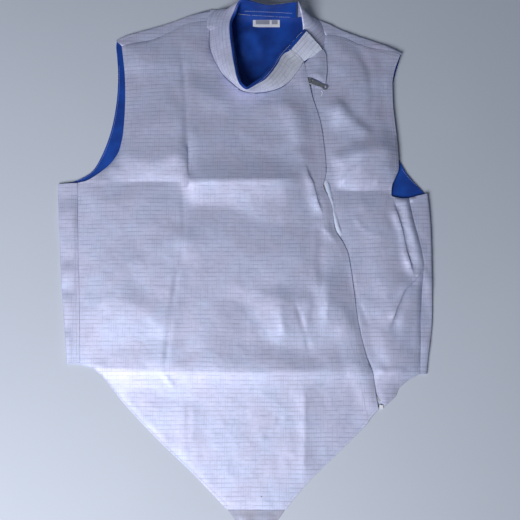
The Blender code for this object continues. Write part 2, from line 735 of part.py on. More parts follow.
def collar_foot(x, y):
    """Foot of the collar and of its tab, which stands on the guard of the zip."""
    return flap_level(x, y) if x > TAB_START and y < 300 else collar_level(x, y)


def make_collar(cloth, blue):
    rows = collar_rows()
    grid, normals = collar_grid(rows, collar_foot)
    back_end = len(COLLAR_BACK) * ROWS_PER_STATION
    tab_start = (len(COLLAR_BACK) + len(COLLAR_RIGHT)) * ROWS_PER_STATION
    stretches = (("collar_back", 0, back_end), ("collar_right", back_end, tab_start),
                 ("collar_tab", tab_start, len(rows) - 1))
    for name, first, last in stretches:
        part = slice(first, last + 1)
        collar_wall(name, rows[part], grid[part], normals[part], COLLAR_CLOTH, cloth)
    collar_wall("collar_lining", rows, grid, normals, COLLAR_LINING, blue, COLLAR_CLOTH + GAP + 0.1, slice(1, 6))
    left_rows = smooth_rows([tuple(s) for s in COLLAR_LEFT])
    left_grid, left_normals = collar_grid(left_rows, collar_level)
    collar_wall("collar_left", left_rows, left_grid, left_normals, COLLAR_CLOTH, cloth)


# Zip


def flap_under(x, y):
    """Underside of the guard, on the wearer's left front and over the slider."""
    return left_under(x, y) + FRONT_CLOTH + GAP + slider_bump(x, y)


def flap_level(x, y):
    return flap_under(x, y) + FRONT_CLOTH + GAP


def make_flap(material):
    edge = [(line_x(PLACKET_EDGE, y) + 0.5, y) for y in (257.5, 264, 271, 278)]
    top = [(90, 285.6), (99.5, 291.6), (107.8, 298.2)]
    right = [(111.8, 291), (112.7, 279.6), (113, 268), (111.9, 257), (111, 248.6)]
    ring = tidy_ring([(92, 256.6)] + right[::-1] + top[::-1] + edge[::-1])
    panel("zip_flap", ring, flap_under, FRONT_CLOTH, material, lattice=7.0)


def strip(name, heights, left, right, under, thickness, material):
    """A long upright band between two edges, three points wide."""
    lower, faces = [], []
    for j, y in enumerate(heights):
        for share in (0.0, 0.5, 1.0):
            x = left(y) + (right(y) - left(y)) * share
            lower.append((x, y, under(x, y)))
        if j:
            k = 3 * j
            faces += [(k - 3, k, k + 1, k - 2), (k - 2, k + 1, k + 2, k - 1)]
    upper = [(x, y, z + thickness) for x, y, z in lower]
    return wall(name, upper, lower, faces, material)


def make_zip(tape, teeth, metal):
    def tape_right(y):
        return chain_x(y) + 5.0 + (TAPE_HALF_WIDTH - 5.0) * smooth((y + 186.0) / 20.0)

    def on_tape(x, y):
        return base(chain_x(y), y) + TAPE_LIFT

    half = CHAIN_WIDTH / 2
    strip("zip_tape", zip_rows(276, -188.6), lambda y: chain_x(y) - TAPE_HALF_WIDTH, tape_right, base,
          TAPE_CLOTH, tape)
    strip("zip_chain", zip_rows(245, -186), lambda y: chain_x(y) - half, lambda y: chain_x(y) + half, on_tape,
          CHAIN_HEIGHT, teeth)
    make_zip_box(teeth)
    make_slider(metal)
    make_pull(metal)


def make_zip_box(material):
    """Small moulded end of the zip, beside the placket's corner."""
    x, y = 176.3, -191.5
    outline = [(x - 2.5, y - 2.2), (x + 2.1, y - 2.5), (x + 2.5, y + 1.6), (x - 2.0, y + 2.5)]
    prism("zip_box", outline, 0.0, 3.2, material)


def prism(name, ring, low, high, material):
    """An upright block over a counter-clockwise ring."""
    count = len(ring)
    corners = [(x, y, low) for x, y in ring] + [(x, y, high) for x, y in ring]
    faces = [tuple(reversed(range(count))), tuple(range(count, 2 * count))]
    faces += [(i, (i + 1) % count, (i + 1) % count + count, i + count) for i in range(count)]
    return make_object(name, corners, faces, material)


def joined(piece, other):
    """Joins a helper solid to a piece; the helper stays hidden."""
    other.hide_render = True
    other.display_type = "WIRE"
    union = piece.modifiers.new("joined", "BOOLEAN")
    union.operation = "UNION"
    union.object = other
    return piece


def slider_top():
    return base(PIVOT_X, PIVOT_Y) + TAPE_LIFT + SLIDER_HEIGHT


def pivot():
    return Vector((PIVOT_X, PIVOT_Y, slider_top() + PIVOT_RISE))


def pull_directions():
    """Along the pull, across it, and up from its face, as it lies."""
    level = Vector((cos(PULL_ANGLE), sin(PULL_ANGLE), 0.0))
    across = Vector((-sin(PULL_ANGLE), cos(PULL_ANGLE), 0.0))
    ahead = level * cos(PULL_DROOP) - Vector((0, 0, sin(PULL_DROOP)))
    return ahead, across, ahead.cross(across)


def make_slider(metal):
    """Slider with round shoulders, and the bridge that holds the pull's bar."""
    top = slider_top()
    middle_x, middle_y = chain_x(PIVOT_Y), PIVOT_Y + 0.8
    half_w, half_l = SLIDER_WIDTH / 2, SLIDER_LENGTH / 2
    shape = [(-0.55, -1.0), (0.55, -1.0), (0.85, -0.55), (1.0, 0.2), (0.95, 0.75), (0.6, 1.0), (-0.6, 1.0),
             (-0.95, 0.75), (-1.0, 0.2), (-0.85, -0.55)]
    ring = [(middle_x + u * half_w, middle_y + v * half_l) for u, v in shape]
    body = prism("zip_slider", ring, top - SLIDER_HEIGHT, top, metal)
    joined(body, make_bridge(metal))


def make_bridge(metal):
    """An arch over the pull's bar, with its legs in the slider."""
    level = Vector((cos(PULL_ANGLE), sin(PULL_ANGLE), 0.0))
    across = Vector((-sin(PULL_ANGLE), cos(PULL_ANGLE), 0.0))
    centre = pivot()
    inner = BAR_RADIUS + GAP
    leg = -PIVOT_RISE - 0.3
    path = [(1.0, 0.0, leg)] + [(cos(pi * i / 8), sin(pi * i / 8), 0.0) for i in range(9)] + [(-1.0, 0.0, leg)]
    corners, faces = [], []
    for i, (u, v, drop) in enumerate(path):
        for reach, side in ((inner, -1), (inner + BRIDGE_THICKNESS, -1), (inner + BRIDGE_THICKNESS, 1), (inner, 1)):
            spot = centre + level * (u * reach) + Vector((0, 0, v * reach + drop))
            corners.append(spot + across * (side * BRIDGE_WIDTH / 2))
        if i:
            k = 4 * i
            faces += [(k - 4 + n, k - 4 + (n + 1) % 4, k + (n + 1) % 4, k + n) for n in range(4)]
    last = len(corners)
    faces += [(3, 2, 1, 0), (last - 4, last - 3, last - 2, last - 1)]
    return make_object("bridge_helper", corners, faces, metal)


def pull_point(u, v, w):
    """A point of the pull: u along it from the pivot, v across, w above its middle."""
    ahead, across, up = pull_directions()
    return pivot() + ahead * u + across * v + up * w


def make_pull(metal):
    """Flat pull with a bar at one end and a ring at the other."""
    half = PULL_WIDTH / 2
    arm = BAR_HALF_LENGTH - ARM_WIDTH
    eye = PULL_LENGTH - RING_RADIUS
    outline = [(0, -BAR_HALF_LENGTH), (2.6, -half), (12, -half), (eye - 5.5, -half * 0.72)]
    outline += [(eye + RING_RADIUS * cos(a), RING_RADIUS * sin(a)) for a in arc(-2.2, 2.2, 13)]
    outline += [(eye - 5.5, half * 0.72), (12, half), (2.6, half), (0, BAR_HALF_LENGTH)]
    outline += [(0, arm), (WINDOW_LENGTH, arm), (WINDOW_LENGTH, -arm), (0, -arm)]
    hole = [(eye + RING_HOLE * cos(a), RING_HOLE * sin(a)) for a in arc(0.0, 2 * pi, 13)[:-1]]
    points, faces = plate_with_hole(outline, hole)
    upper = [pull_point(u, v, PULL_THICKNESS / 2) for u, v in points]
    lower = [pull_point(u, v, -PULL_THICKNESS / 2) for u, v in points]
    plate = wall("zip_pull", upper, lower, faces, metal)
    joined(plate, make_bar(metal))


def arc(start, end, count):
    return [start + (end - start) * i / (count - 1) for i in range(count)]


def plate_with_hole(outline, hole):
    """Points and upward triangles of a flat plate with one hole."""
    spots = [Vector(p) for p in outline + hole]
    first = len(outline)
    edges = [(first + i, first + (i + 1) % len(hole)) for i in range(len(hole))]
    points, _, faces, _, _, _ = delaunay_2d_cdt(spots, edges, [list(range(first))], 1, 1e-5)
    points = [tuple(p) for p in points]
    kept = []
    for face in faces:
        x = sum(points[i][0] for i in face) / 3
        y = sum(points[i][1] for i in face) / 3
        if not inside(x, y, hole):
            kept.append(face)
    return points, upward(points, kept)


def make_bar(metal):
    """Round bar across the end of the pull."""
    count = 12
    corners = []
    for side in (-1, 1):
        for i in range(count):
            angle = 2 * pi * i / count
            corners.append(pull_point(BAR_RADIUS * cos(angle), side * (BAR_HALF_LENGTH - 0.05),
                                      BAR_RADIUS * sin(angle)))
    faces = [tuple(range(count)), tuple(reversed(range(count, 2 * count)))]
    faces += [((i + 1) % count, i, i + count, (i + 1) % count + count) for i in range(count)]
    return make_object("bar_helper", corners, faces, metal)


def make_label(material):
    corners = [(LABEL_LEFT, LABEL_BOTTOM), (LABEL_RIGHT, LABEL_BOTTOM), (LABEL_RIGHT, LABEL_TOP),
               (LABEL_LEFT, LABEL_TOP)]
    panel("neck_label", corners, lambda x, y: LINING_TOP + GAP, LABEL_THICKNESS, material, lattice=0)


# Materials


def finish(name, colour, roughness, metallic):
    material = bpy.data.materials.new(name)
    material.use_nodes = True
    shader = material.node_tree.nodes["Principled BSDF"]
    shader.inputs["Base Color"].default_value = (*colour, 1.0)
    shader.inputs["Roughness"].default_value = roughness
    shader.inputs["Metallic"].default_value = metallic
    material.diffuse_color = (*colour, 1.0)
    return material


def main():
    for item in list(bpy.data.objects):
        bpy.data.objects.remove(item)
    lame = finish("lame_cloth", (0.42, 0.43, 0.52), 0.45, 0.35)
    blue = finish("blue_lining", (0.02, 0.09, 0.42), 0.6, 0.0)
    tape = finish("zip_tape_cloth", (0.66, 0.72, 0.86), 0.7, 0.0)
    white = finish("zip_moulding", (0.8, 0.82, 0.86), 0.4, 0.0)
    steel = finish("zip_metal", (0.3, 0.31, 0.32), 0.3, 0.9)
    label = finish("label_cloth", (0.75, 0.77, 0.82), 0.6, 0.0)
    make_back(lame)
    make_back_lining(blue)
    make_fronts(lame)
    make_crotch_tab(lame)
    make_collar(lame, blue)
    make_flap(lame)
    make_zip(tape, white, steel)
    make_label(label)


main()
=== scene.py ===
"""Looks of a sleeveless fencing over-vest of metallic cloth, laid flat with its front up.

Lengths are millimetres until a mesh is made; X runs to the wearer's left, Y towards the collar, +Z up.
"""
from collections import namedtuple
from math import cos, pi, radians, sin, tan

import bmesh
import bpy
import numpy as np
from mathutils import Matrix, Vector, noise
from mathutils.bvhtree import BVHTree
from mathutils.geometry import delaunay_2d_cdt
from mathutils.kdtree import KDTree


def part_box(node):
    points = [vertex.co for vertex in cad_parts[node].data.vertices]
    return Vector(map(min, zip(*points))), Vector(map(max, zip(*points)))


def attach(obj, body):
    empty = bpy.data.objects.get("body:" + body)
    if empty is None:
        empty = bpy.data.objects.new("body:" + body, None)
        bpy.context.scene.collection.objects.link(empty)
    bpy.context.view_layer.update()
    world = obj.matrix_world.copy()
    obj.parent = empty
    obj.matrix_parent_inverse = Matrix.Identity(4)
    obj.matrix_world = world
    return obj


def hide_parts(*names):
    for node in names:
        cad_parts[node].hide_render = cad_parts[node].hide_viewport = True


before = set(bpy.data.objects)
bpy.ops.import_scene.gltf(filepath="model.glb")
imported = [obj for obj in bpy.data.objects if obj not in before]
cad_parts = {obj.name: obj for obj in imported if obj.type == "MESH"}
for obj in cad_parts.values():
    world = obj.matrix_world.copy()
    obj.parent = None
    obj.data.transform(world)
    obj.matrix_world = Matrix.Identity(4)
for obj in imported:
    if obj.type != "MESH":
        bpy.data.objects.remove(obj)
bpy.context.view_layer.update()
MM = 0.001

# The picture: 520 pixels square, taken from above and a little from the hem's side
PICTURE = 520.0
LENS_PIXELS = 700.0
TILT = radians(9.5)
DISTANCE = 933.0
AIM = Vector((22.5, -7.5, 4.5))
EYE = AIM + Vector((0.0, -sin(TILT), cos(TILT))) * DISTANCE

# Cloth
CLOTH = 0.7               # thickness of a lame panel
LINING = 0.5
PANEL_PITCH = 3.0         # spacing of a panel's points
SLACK = 0.25              # a panel may lie this much below the solid it follows
SHARP = radians(40)       # corners sharper than this keep separate shading
EDGE_CALM = 5.0           # folds die away over this distance from a panel's edge
AIR = 1.5                 # the cloth stands this far off its solid, so a trough has room
AIR_REACH = 60.0          # and reaches that height so far from its edge, and not in the groin flap
GROIN_TOP = -175.0
SHOULDERS = 252.0         # from here to the shoulder seams the fronts stand up a little
SHOULDER_REACH = 20.0
SHOULDER_LIFT = 1.0
SHARP_FOLD = 2.0          # a crease with a side narrower than this is a sharp one
CREASE_FADE = 0.22        # share of a crease over which it dies away at each end
CREASE_ENDS = 0.12        # and what is left of its height there
RIDGE_STEP = 7.0          # spacing of a ridge's spots, in pixels
FACET_ROUNDS = 7          # softness of the facets' edges
TROUGH = 0.4              # below this rise a trough flattens out
FLOOR_CLEAR = 0.4         # the collar's foot stays this far above the floor

# Small waves of the fronts: height, pitch, seed
SWELLS = [(0.3, 45.0, 3.7), (0.22, 18.0, 8.1)]
CRUMPLES = [(0.14, 15.0, 1.3), (0.05, 8.0, 5.9)]

# Height of the cloth at spots of the picture, (u, v, height): the cloth runs flat between them, in facets
FACETS_RIGHT = [
    (151, 41, 0.8), (176, 29, 0.8), (200, 22, 0.8), (210, 21, 0.8), (321, 216, 0.8), (328, 222, 2.2), (336, 242, 0.8),
    # under the wearer's right shoulder
    (138, 54, 3.2), (163, 50, 2.2), (150, 84, 2.4), (168, 92, 3.8), (142, 112, 3.0), (158, 122, 6.2), (181, 121, 6.2),
    (156, 138, 5.8), (181, 135, 5.8), (134, 134, 4.8), (176, 62, 3.0), (181, 92, 3.2),
    # press fold, then the wearer's right side
    (90, 200, 1.6), (110, 202, 2.6), (150, 201, 2.6), (180, 206, 1.6), (100, 224, 2.4), (126, 236, 2.2),
    (156, 226, 3.4), (172, 240, 2.0), (96, 258, 2.6), (122, 262, 3.8), (150, 266, 3.2), (140, 286, 2.4),
    (92, 304, 3.0), (106, 300, 4.4), (124, 302, 5.0), (144, 308, 4.4), (156, 298, 2.8), (94, 338, 1.8),
    (108, 345, 1.6), (128, 343, 1.4), (147, 336, 2.0), (162, 326, 3.4),
    # chest between the press folds
    (198, 52, 3.2), (199, 92, 3.8), (212, 97, 5.2), (226, 102, 4.8), (206, 115, 2.4), (230, 118, 2.6),
    (197, 140, 4.6), (198, 160, 5.0), (240, 140, 2.6), (270, 128, 2.2), (264, 104, 3.4), (284, 104, 5.2),
    (298, 114, 4.8), (284, 124, 2.4), (302, 136, 4.0), (292, 146, 2.4), (300, 160, 3.8), (250, 154, 3.0),
    (278, 158, 3.2),
    # below the press fold
    (192, 206, 2.0), (216, 207, 2.2), (240, 212, 2.0), (262, 222, 1.6), (285, 228, 1.4), (304, 226, 1.0),
    (309, 196, 1.0), (316, 196, 3.4), (191, 244, 4.4), (180, 262, 1.4), (200, 266, 2.6), (226, 240, 3.0),
    (258, 252, 3.4), (286, 256, 3.0), (304, 258, 3.6), (315, 262, 0.8), (322, 240, 1.6), (326, 258, 2.8),
    (176, 300, 1.4), (188, 306, 3.0), (210, 296, 3.4), (230, 286, 3.4), (245, 303, 0.6), (256, 292, 2.2),
    (205, 338, 3.4), (172, 340, 1.6), (240, 338, 1.8), (262, 330, 2.4), (280, 284, 3.2), (306, 284, 3.2),
    (328, 282, 4.0), (272, 298, 4.8), (290, 303, 4.4), (304, 300, 5.6), (316, 308, 3.8), (330, 304, 5.4),
    (344, 312, 3.2), (350, 324, 4.2), (286, 322, 3.8), (297, 332, 2.8), (310, 354, 1.0), (322, 332, 2.6),
    (276, 346, 2.2), (336, 344, 2.6),
    # groin flap
    (150, 400, 1.2), (176, 400, 1.8), (210, 402, 2.3), (246, 400, 2.9), (252, 408, 2.2), (300, 402, 2.4),
    (282, 412, 2.2), (150, 425, 0.5), (178, 434, 0.7), (188, 440, 0.5), (200, 434, 0.8), (230, 420, 1.2),
    (256, 440, 0.9), (268, 428, 1.2), (288, 440, 1.8), (296, 420, 1.6), (308, 412, 1.6), (306, 440, 0.5),
    (303, 440, 0.6), (316, 430, 1.5), (303, 476, 0.4), (289, 470, 1.0), (336, 404, 2.2), (330, 436, 1.5),
    (345, 424, 1.2), (356, 402, 1.5), (196, 466, 0.5), (225, 460, 0.6), (255, 470, 0.5), (240, 496, 0.5),
    (270, 500, 0.5),
]
FACETS_LEFT = [
    # along the edges: placket, armhole, shoulder
    (316, 84, 0.0), (330, 90, 0.1), (322, 74, 0.0), (332, 78, 0.3), (330, 38, 0.6), (345, 40, 0.8), (370, 49, 0.8),
    (326, 56, 0.4),
    # chest
    (344, 54, 3.4), (352, 46, 1.8), (364, 62, 1.2), (335, 62, 1.2), (340, 47, 2.6), (356, 84, 3.2), (384, 78, 2.8),
    (345, 101, 3.4), (337, 114, 5.6), (352, 118, 2.2), (340, 134, 2.4), (368, 112, 2.6), (368, 138, 5.6),
    (350, 145, 6.4), (382, 128, 4.4),
    # below the press fold, with the pleat under the arm
    (346, 206, 1.6), (362, 206, 3.0), (380, 206, 3.2), (356, 240, 2.2), (374, 238, 3.2), (385, 222, 3.4),
    (385, 200, 2.6), (388, 213, 3.2), (394, 234, 3.4), (398, 254, 3.2), (403, 270, 2.6), (408, 204, 4.8),
    (414, 232, 4.6), (419, 254, 3.8), (421, 266, 1.2), (392, 284, 4.0), (386, 302, 2.8), (418, 288, 3.8),
    (411, 300, 4.6), (404, 318, 4.2), (374, 276, 3.0), (374, 308, 2.6), (380, 334, 3.4), (384, 318, 2.0),
    (398, 342, 2.8), (414, 330, 2.0), (418, 350, 1.0), (408, 358, 3.2), (388, 360, 3.6), (380, 371, 3.0),
    (421, 371, 0.6), (388, 388, 1.4), (384, 398, 0.6), (402, 383, 0.8),
]

# Lines that the facets meet in, each with its height at every spot
RIDGES_RIGHT = [
    # edges: armhole, shoulder, neck, placket, side, groin
    [(121, 42, 0.5), (124, 72, 0.6), (126, 95, 0.6), (125, 118, 0.8), (122, 138, 1.0), (117, 151, 2.0),
     (109, 165, 1.2), (96, 176, 0.6), (84, 182, 0.3)],
    [(211, 46, 0.6), (220, 70, 0.6), (234, 85, 0.6), (248, 93, 0.6), (272, 92, 0.6), (292, 80, 0.6), (302, 66, 0.5)],
    [(304, 80, 0.5), (308, 110, 0.5), (315, 148, 0.5), (319, 176, 0.5), (321, 208, 0.6)],
    [(338, 248, 0.6), (345, 275, 0.5), (349, 300, 0.5), (355, 330, 0.5), (362, 356, 0.8), (366, 371, 1.2),
     (371, 396, 0.4), (374, 408, 0.2)],
    [(80, 186, 0.2), (79, 253, 0.4), (80, 289, 0.4), (81, 362, 0.6)],
    [(94, 370, 0.5), (108, 383, 0.4), (130, 410, 0.4), (162, 443, 0.4), (194, 473, 0.4), (228, 504, 0.3)],
    [(284, 504, 0.3), (308, 476, 0.4), (340, 444, 0.4), (364, 420, 0.4)],
    # press folds
    [(84, 183, 0.0), (120, 182, -1.1), (184, 182, -1.1)],
    [(114, 168, 3.8), (140, 173, 2.6), (162, 174, 2.4), (181, 170, 3.8)],
    [(190, 181.5, 6.6), (240, 181, 7.0), (275, 181.5, 7.0), (304, 181, 4.6)],
    [(126, 157, 6.4), (140, 162, 7.0), (152, 164, 6.8), (165, 162, 7.2), (181, 156, 8.6)],
    [(181, 60, 2.4), (187, 100, 2.4), (188, 140, 2.2), (188, 178, 0.6)],
    # over the hem of the back
    [(88, 367, 0.4), (110, 369, 0.6), (140, 370, 1.2), (190, 371.5, 3.0), (225, 373, 4.2), (260, 373, 4.6),
     (300, 372, 4.4), (340, 371, 3.6), (364, 370, 1.6)],
    [(108, 377, 1.0), (130, 380, 2.6), (163, 381, 3.4), (200, 381, 5.0), (250, 381, 5.9), (300, 381, 5.6),
     (346, 380, 4.0)],
    [(120, 387, 0.9), (163, 389, 2.3), (200, 390, 3.7), (250, 390, 4.5), (300, 390, 4.2), (346, 390, 2.8)],
]
RIDGES_LEFT = [
    [(324, 104, 0.3), (327, 135, 0.4), (334, 172, 0.6), (336, 190, 0.2), (340, 215, 0.5), (348, 240, 0.5),
     (357, 266, 0.5), (361, 300, 0.5), (367, 335, 0.5), (374, 360, 0.6), (382, 395, 0.3)],
    [(398, 60, 0.5), (393, 80, 0.6), (391, 96, 0.6), (392, 110, 0.6), (394, 130, 0.8), (396, 147, 1.6),
     (396, 164, 1.8), (393, 178, 0.8)],
    [(333, 190.5, -0.6), (394, 190, -0.6)],
    [(339, 160, 8.6), (358, 155, 13.2), (378, 150, 13.4), (391, 152, 10.4)],
    [(340, 175, 4.4), (360, 172, 7.1), (378, 170, 7.3), (392, 171, 5.8)],
    [(392, 198, 0.1), (395.5, 211, 0.1), (401.5, 230.5, 0.1), (406, 252, 0.1), (411.5, 269, 0.1)],
    [(414, 279, 0.2), (406, 288, 0.2), (398, 304, 0.2), (392, 320, 0.5)],
    [(384, 366, 2.2), (392, 373, 3.4), (410, 371, 2.4)],
]

Crease = namedtuple("Crease", "path left right height")
# A row for each sharper crease: its path over the picture, how wide it is on the left and the right of that
# path, and its height; a negative height is a trough.
CREASES = [Crease(*row) for row in (
    # press folds across the chest and down the wearer's right side
    ([(62, 184), (120, 182.5), (187, 181.5)], 2.5, 3.5, -0.9),
    ([(186, 182.5), (240, 181.5), (306, 180)], 3.5, 5, 0.9),
    ([(329, 191), (360, 191), (397, 190)], 2.5, 3.5, -0.9),
    ([(181, 45), (185, 90), (187, 140), (187.5, 184)], 4, 3, -1.6),
    ([(188, 184), (187.5, 164), (187, 144)], 5, 1.2, 1.8),
    ([(183, 184), (184, 225), (181, 268)], 3, 3, -0.9),
    ([(179, 262), (171, 315), (164.5, 374)], 4, 3, -1.3),
    # the front falls over the hem of the back
    ([(90, 368.5), (163, 371.5), (250, 372.6), (306, 371), (371, 371.5)], 5, 4.0, 0.7),
    ([(376, 371.5), (392, 373), (409, 371)], 6, 2.2, 1.4),
    ([(163.5, 373), (168, 380), (174, 387)], 3, 3, 0.9),
    # down the groin flap
    ([(189, 402), (187.5, 435), (189, 463)], 4, 3, -0.8),
    ([(304, 482), (305.5, 430), (305, 388)], 5, 2.1, 0.5),
    ([(262, 440), (274, 430), (284, 416)], 4, 3, -0.7),
    # beside the placket
    ([(322.4, 214), (319.5, 207.6), (316.6, 200), (314.9, 192), (313, 184), (308.6, 176.6), (305, 164)],
           7, 1.2, 2.4),
    ([(322, 226), (328, 233), (334, 241)], 3, 3, 1.0),
    ([(330, 222), (336, 232), (340, 238)], 3, 3, -0.9),
    ([(317, 302), (314.5, 262), (316.5, 226)], 7, 5, 1.5),
    ([(326.5, 280), (327, 300), (325, 324)], 4, 6, 0.7),
    ([(311, 286), (308, 312), (304, 340)], 4, 6, 0.6),
    ([(279, 304), (281, 318), (287, 338)], 4, 6, 0.5),
    ([(294, 300), (303, 326), (310, 354)], 3, 3, -0.9),
    ([(258, 100.5), (272, 101.5), (290, 99)], 2.5, 2.5, -0.9),
    # the wearer's left
    ([(374, 140), (358, 128), (346, 116), (331, 97)], 12, 8, 3.4),
    ([(414, 277), (411.3, 269.6), (405.9, 252.7), (401.4, 230.4), (395.2, 210.7), (391.6, 196.4)],
           7, 1.5, 4.6),
    ([(350, 42), (361, 53), (369, 70), (372, 100), (371, 128)], 6, 6, -1.9),
    ([(338, 186), (352, 172), (372, 160)], 4, 5, 0.9),
    ([(372, 186), (384, 176), (394, 164)], 4, 4, 0.7),
    ([(390, 326), (396, 308), (404, 290), (414, 280), (425, 266)], 7, 1.5, 2.8),
    ([(343, 262), (358, 300), (371, 332)], 3, 4, -0.7),
    ([(352, 214), (366, 232), (388, 240)], 4, 4, 0.6),
)]


def place(u, v):
    """The spot of the vest that shows at pixel (u, v) of the picture."""
    up = PICTURE / 2 - v
    spread = 1.0 / (1.0 - tan(TILT) * up / LENS_PIXELS)
    pixel = DISTANCE / LENS_PIXELS
    return AIM.x + pixel * (u - PICTURE / 2) * spread, AIM.y + pixel / cos(TILT) * up * spread


def blend(t, a, b, c, d):
    """Catmull-Rom value between b and c."""
    return 0.5 * (2 * b + (c - a) * t + (2 * a - 5 * b + 4 * c - d) * t * t + (3 * b - a - 3 * c + d) * t ** 3)


def curve(points, step):
    """Points on a smooth curve through the given ones, about a step apart."""
    points = [Vector(p) for p in points]
    ends = [points[0]] + points + [points[-1]]
    found = []
    for a, b, c, d in zip(ends, ends[1:], ends[2:], ends[3:]):
        pieces = max(1, round((c - b).length / step))
        found += [blend(i / pieces, a, b, c, d) for i in range(pieces)]
    return found + [points[-1]]


def smooth(t):
    t = np.clip(t, 0.0, 1.0)
    return t * t * (3 - 2 * t)


# The solids' forms


def cad_form(node):
    """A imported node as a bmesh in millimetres, with split corners joined."""
    form = bmesh.new()
    form.from_mesh(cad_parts[node].data)
    bmesh.ops.remove_doubles(form, verts=form.verts, dist=1e-6)
    bmesh.ops.scale(form, vec=(1 / MM,) * 3, verts=form.verts)
    form.normal_update()
    form.verts.index_update()
    form.faces.index_update()
    return form


def top_skin(node):
    """Search tree of a panel's upper skin, and its outline."""
    form = cad_form(node)
    top = [f for f in form.faces if f.normal.z > 0.4]
    upper = {f.index for f in top}
    tree = BVHTree.FromPolygons([v.co.copy() for v in form.verts], [[v.index for v in f.verts] for f in top])
    after = {}
    for face in top:
        for loop in face.loops:
            if not any(f.index in upper for f in loop.edge.link_faces if f != face):
                after[loop.vert.index] = loop.link_loop_next.vert.index
    spots = {v.index: (v.co.x, v.co.y) for v in form.verts}
    form.free()
    rings = []
    while after:
        start = next(iter(after))
        ring = [start]
        while after[ring[-1]] != start:
            ring.append(after.pop(ring[-1]))
        after.pop(ring[-1])
        rings.append([spots[i] for i in ring])
    return tree, max(rings, key=len)


def fine_ring(ring, step):
    """An outline on smooth curves between its corners."""
    count = len(ring)
    ring = [Vector(p) for p in ring]
    corner = []
    for i in range(count):
        run, turn = ring[i] - ring[i - 1], ring[(i + 1) % count] - ring[i]
        corner.append(run.angle(turn, 0.0) > radians(34))
    found = []
    for i in range(count):
        b, c = ring[i], ring[(i + 1) % count]
        a = b if corner[i] else ring[i - 1]
        d = c if corner[(i + 1) % count] else ring[(i + 2) % count]
        pieces = max(1, round((c - b).length / step))
        found += [tuple(blend(k / pieces, a, b, c, d)) for k in range(pieces)]
    return found


def within(points, ring):
    """Which of the points lie inside an outline."""
    inside = np.zeros(len(points), bool)
    x, y = points[:, 0], points[:, 1]
    for (ax, ay), (bx, by) in zip(ring, ring[1:] + ring[:1]):
        if ay != by:
            inside ^= ((ay > y) != (by > y)) & (x < (bx - ax) * (y - ay) / (by - ay) + ax)
    return inside


def fold_points(creases, ring):
    """Points along the steep side of the sharp creases inside an outline."""
    found = []
    for crease in creases:
        if min(crease.left, crease.right) > SHARP_FOLD:
            continue
        line = even([Vector(place(u, v)) for u, v in crease.path], 2.0)
        for a, b in zip(line, line[1:]):
            across = Vector((b.y - a.y, a.x - b.x)).normalized()
            found += [tuple(a + across * crease.right * k) for k in (-0.6, 0.3, 1.0, 1.8)]
    found = np.array(found)
    found = found[within(found, ring)]
    tree = nearest_tree(ring)
    return [tuple(p) for p in found if tree.find((p[0], p[1], 0.0))[2] > 1.2]


def nearest_tree(points):
    tree = KDTree(len(points))
    for i, (x, y) in enumerate(points):
        tree.insert((x, y, 0.0), i)
    tree.balance()
    return tree


def lattice(ring, pitch):
    """Staggered rows of points inside an outline, clear of its edge."""
    low, high = np.min(ring, axis=0), np.max(ring, axis=0)
    rows = []
    for j, y in enumerate(np.arange(low[1] + pitch / 2, high[1], pitch * 0.866)):
        xs = np.arange(low[0] + (0.25 + 0.5 * (j % 2)) * pitch, high[0], pitch)
        rows.append(np.column_stack([xs, np.full(len(xs), y)]))
    points = np.vstack(rows)
    points = points[within(points, ring)]
    tree = nearest_tree(ring)
    return [tuple(p) for p in points if tree.find((p[0], p[1], 0.0))[2] > pitch * 0.6]


def relaxed(values, edges, rounds):
    """Values at points, evened out along the edges between them."""
    count = np.bincount(edges.ravel(), minlength=len(values))
    for _ in range(rounds):
        sums = np.bincount(edges[:, 0], values[edges[:, 1]], len(values))
        sums += np.bincount(edges[:, 1], values[edges[:, 0]], len(values))
        values = 0.5 * values + 0.5 * sums / np.maximum(count, 1)
    return values


# Relief of the cloth


def crease_rise(xy, crease):
    """Rise of one crease at the points: soft on both sides, dying away at its ends."""
    path = [np.array(place(u, v)) for u, v in crease.path]
    length = sum(np.linalg.norm(b - a) for a, b in zip(path, path[1:]))
    best = np.full(len(xy), 1e9)
    side = np.zeros(len(xy))
    share = np.zeros(len(xy))
    done = 0.0
    for a, b in zip(path, path[1:]):
        run = b - a
        size = np.linalg.norm(run)
        t = np.clip((xy - a) @ run / size ** 2, 0, 1)
        off = xy - a - t[:, None] * run
        away = np.hypot(off[:, 0], off[:, 1])
        closer = away < best
        best = np.where(closer, away, best)
        side = np.where(closer, run[0] * off[:, 1] - run[1] * off[:, 0], side)
        share = np.where(closer, (done + t * size) / length, share)
        done += size
    width = np.where(side > 0, crease.left, crease.right)
    ends = smooth(share / CREASE_FADE) * smooth((1 - share) / CREASE_FADE)
    uneven = 0.8 + 0.35 * np.sin(share * 7.0 + crease.left) * np.sin(share * 3.1 + crease.right)
    return crease.height * np.exp(-(best / width) ** 2) * (CREASE_ENDS + (1 - CREASE_ENDS) * ends) * uneven


def crumple(xy, pitch, seed):
    """Small soft ridges, uneven in size and spacing, between 0 and 1."""
    spots = [Vector((x / pitch, y / pitch, seed)) for x, y in xy]
    return np.array([1.0 - abs(noise.noise(s)) * 2.2 for s in spots]).clip(0, 1) ** 2


def swell(xy, pitch, seed):
    """Slow rise and fall of the cloth, between -1 and 1."""
    return np.array([noise.noise(Vector((x / pitch, y / pitch, seed))) for x, y in xy])


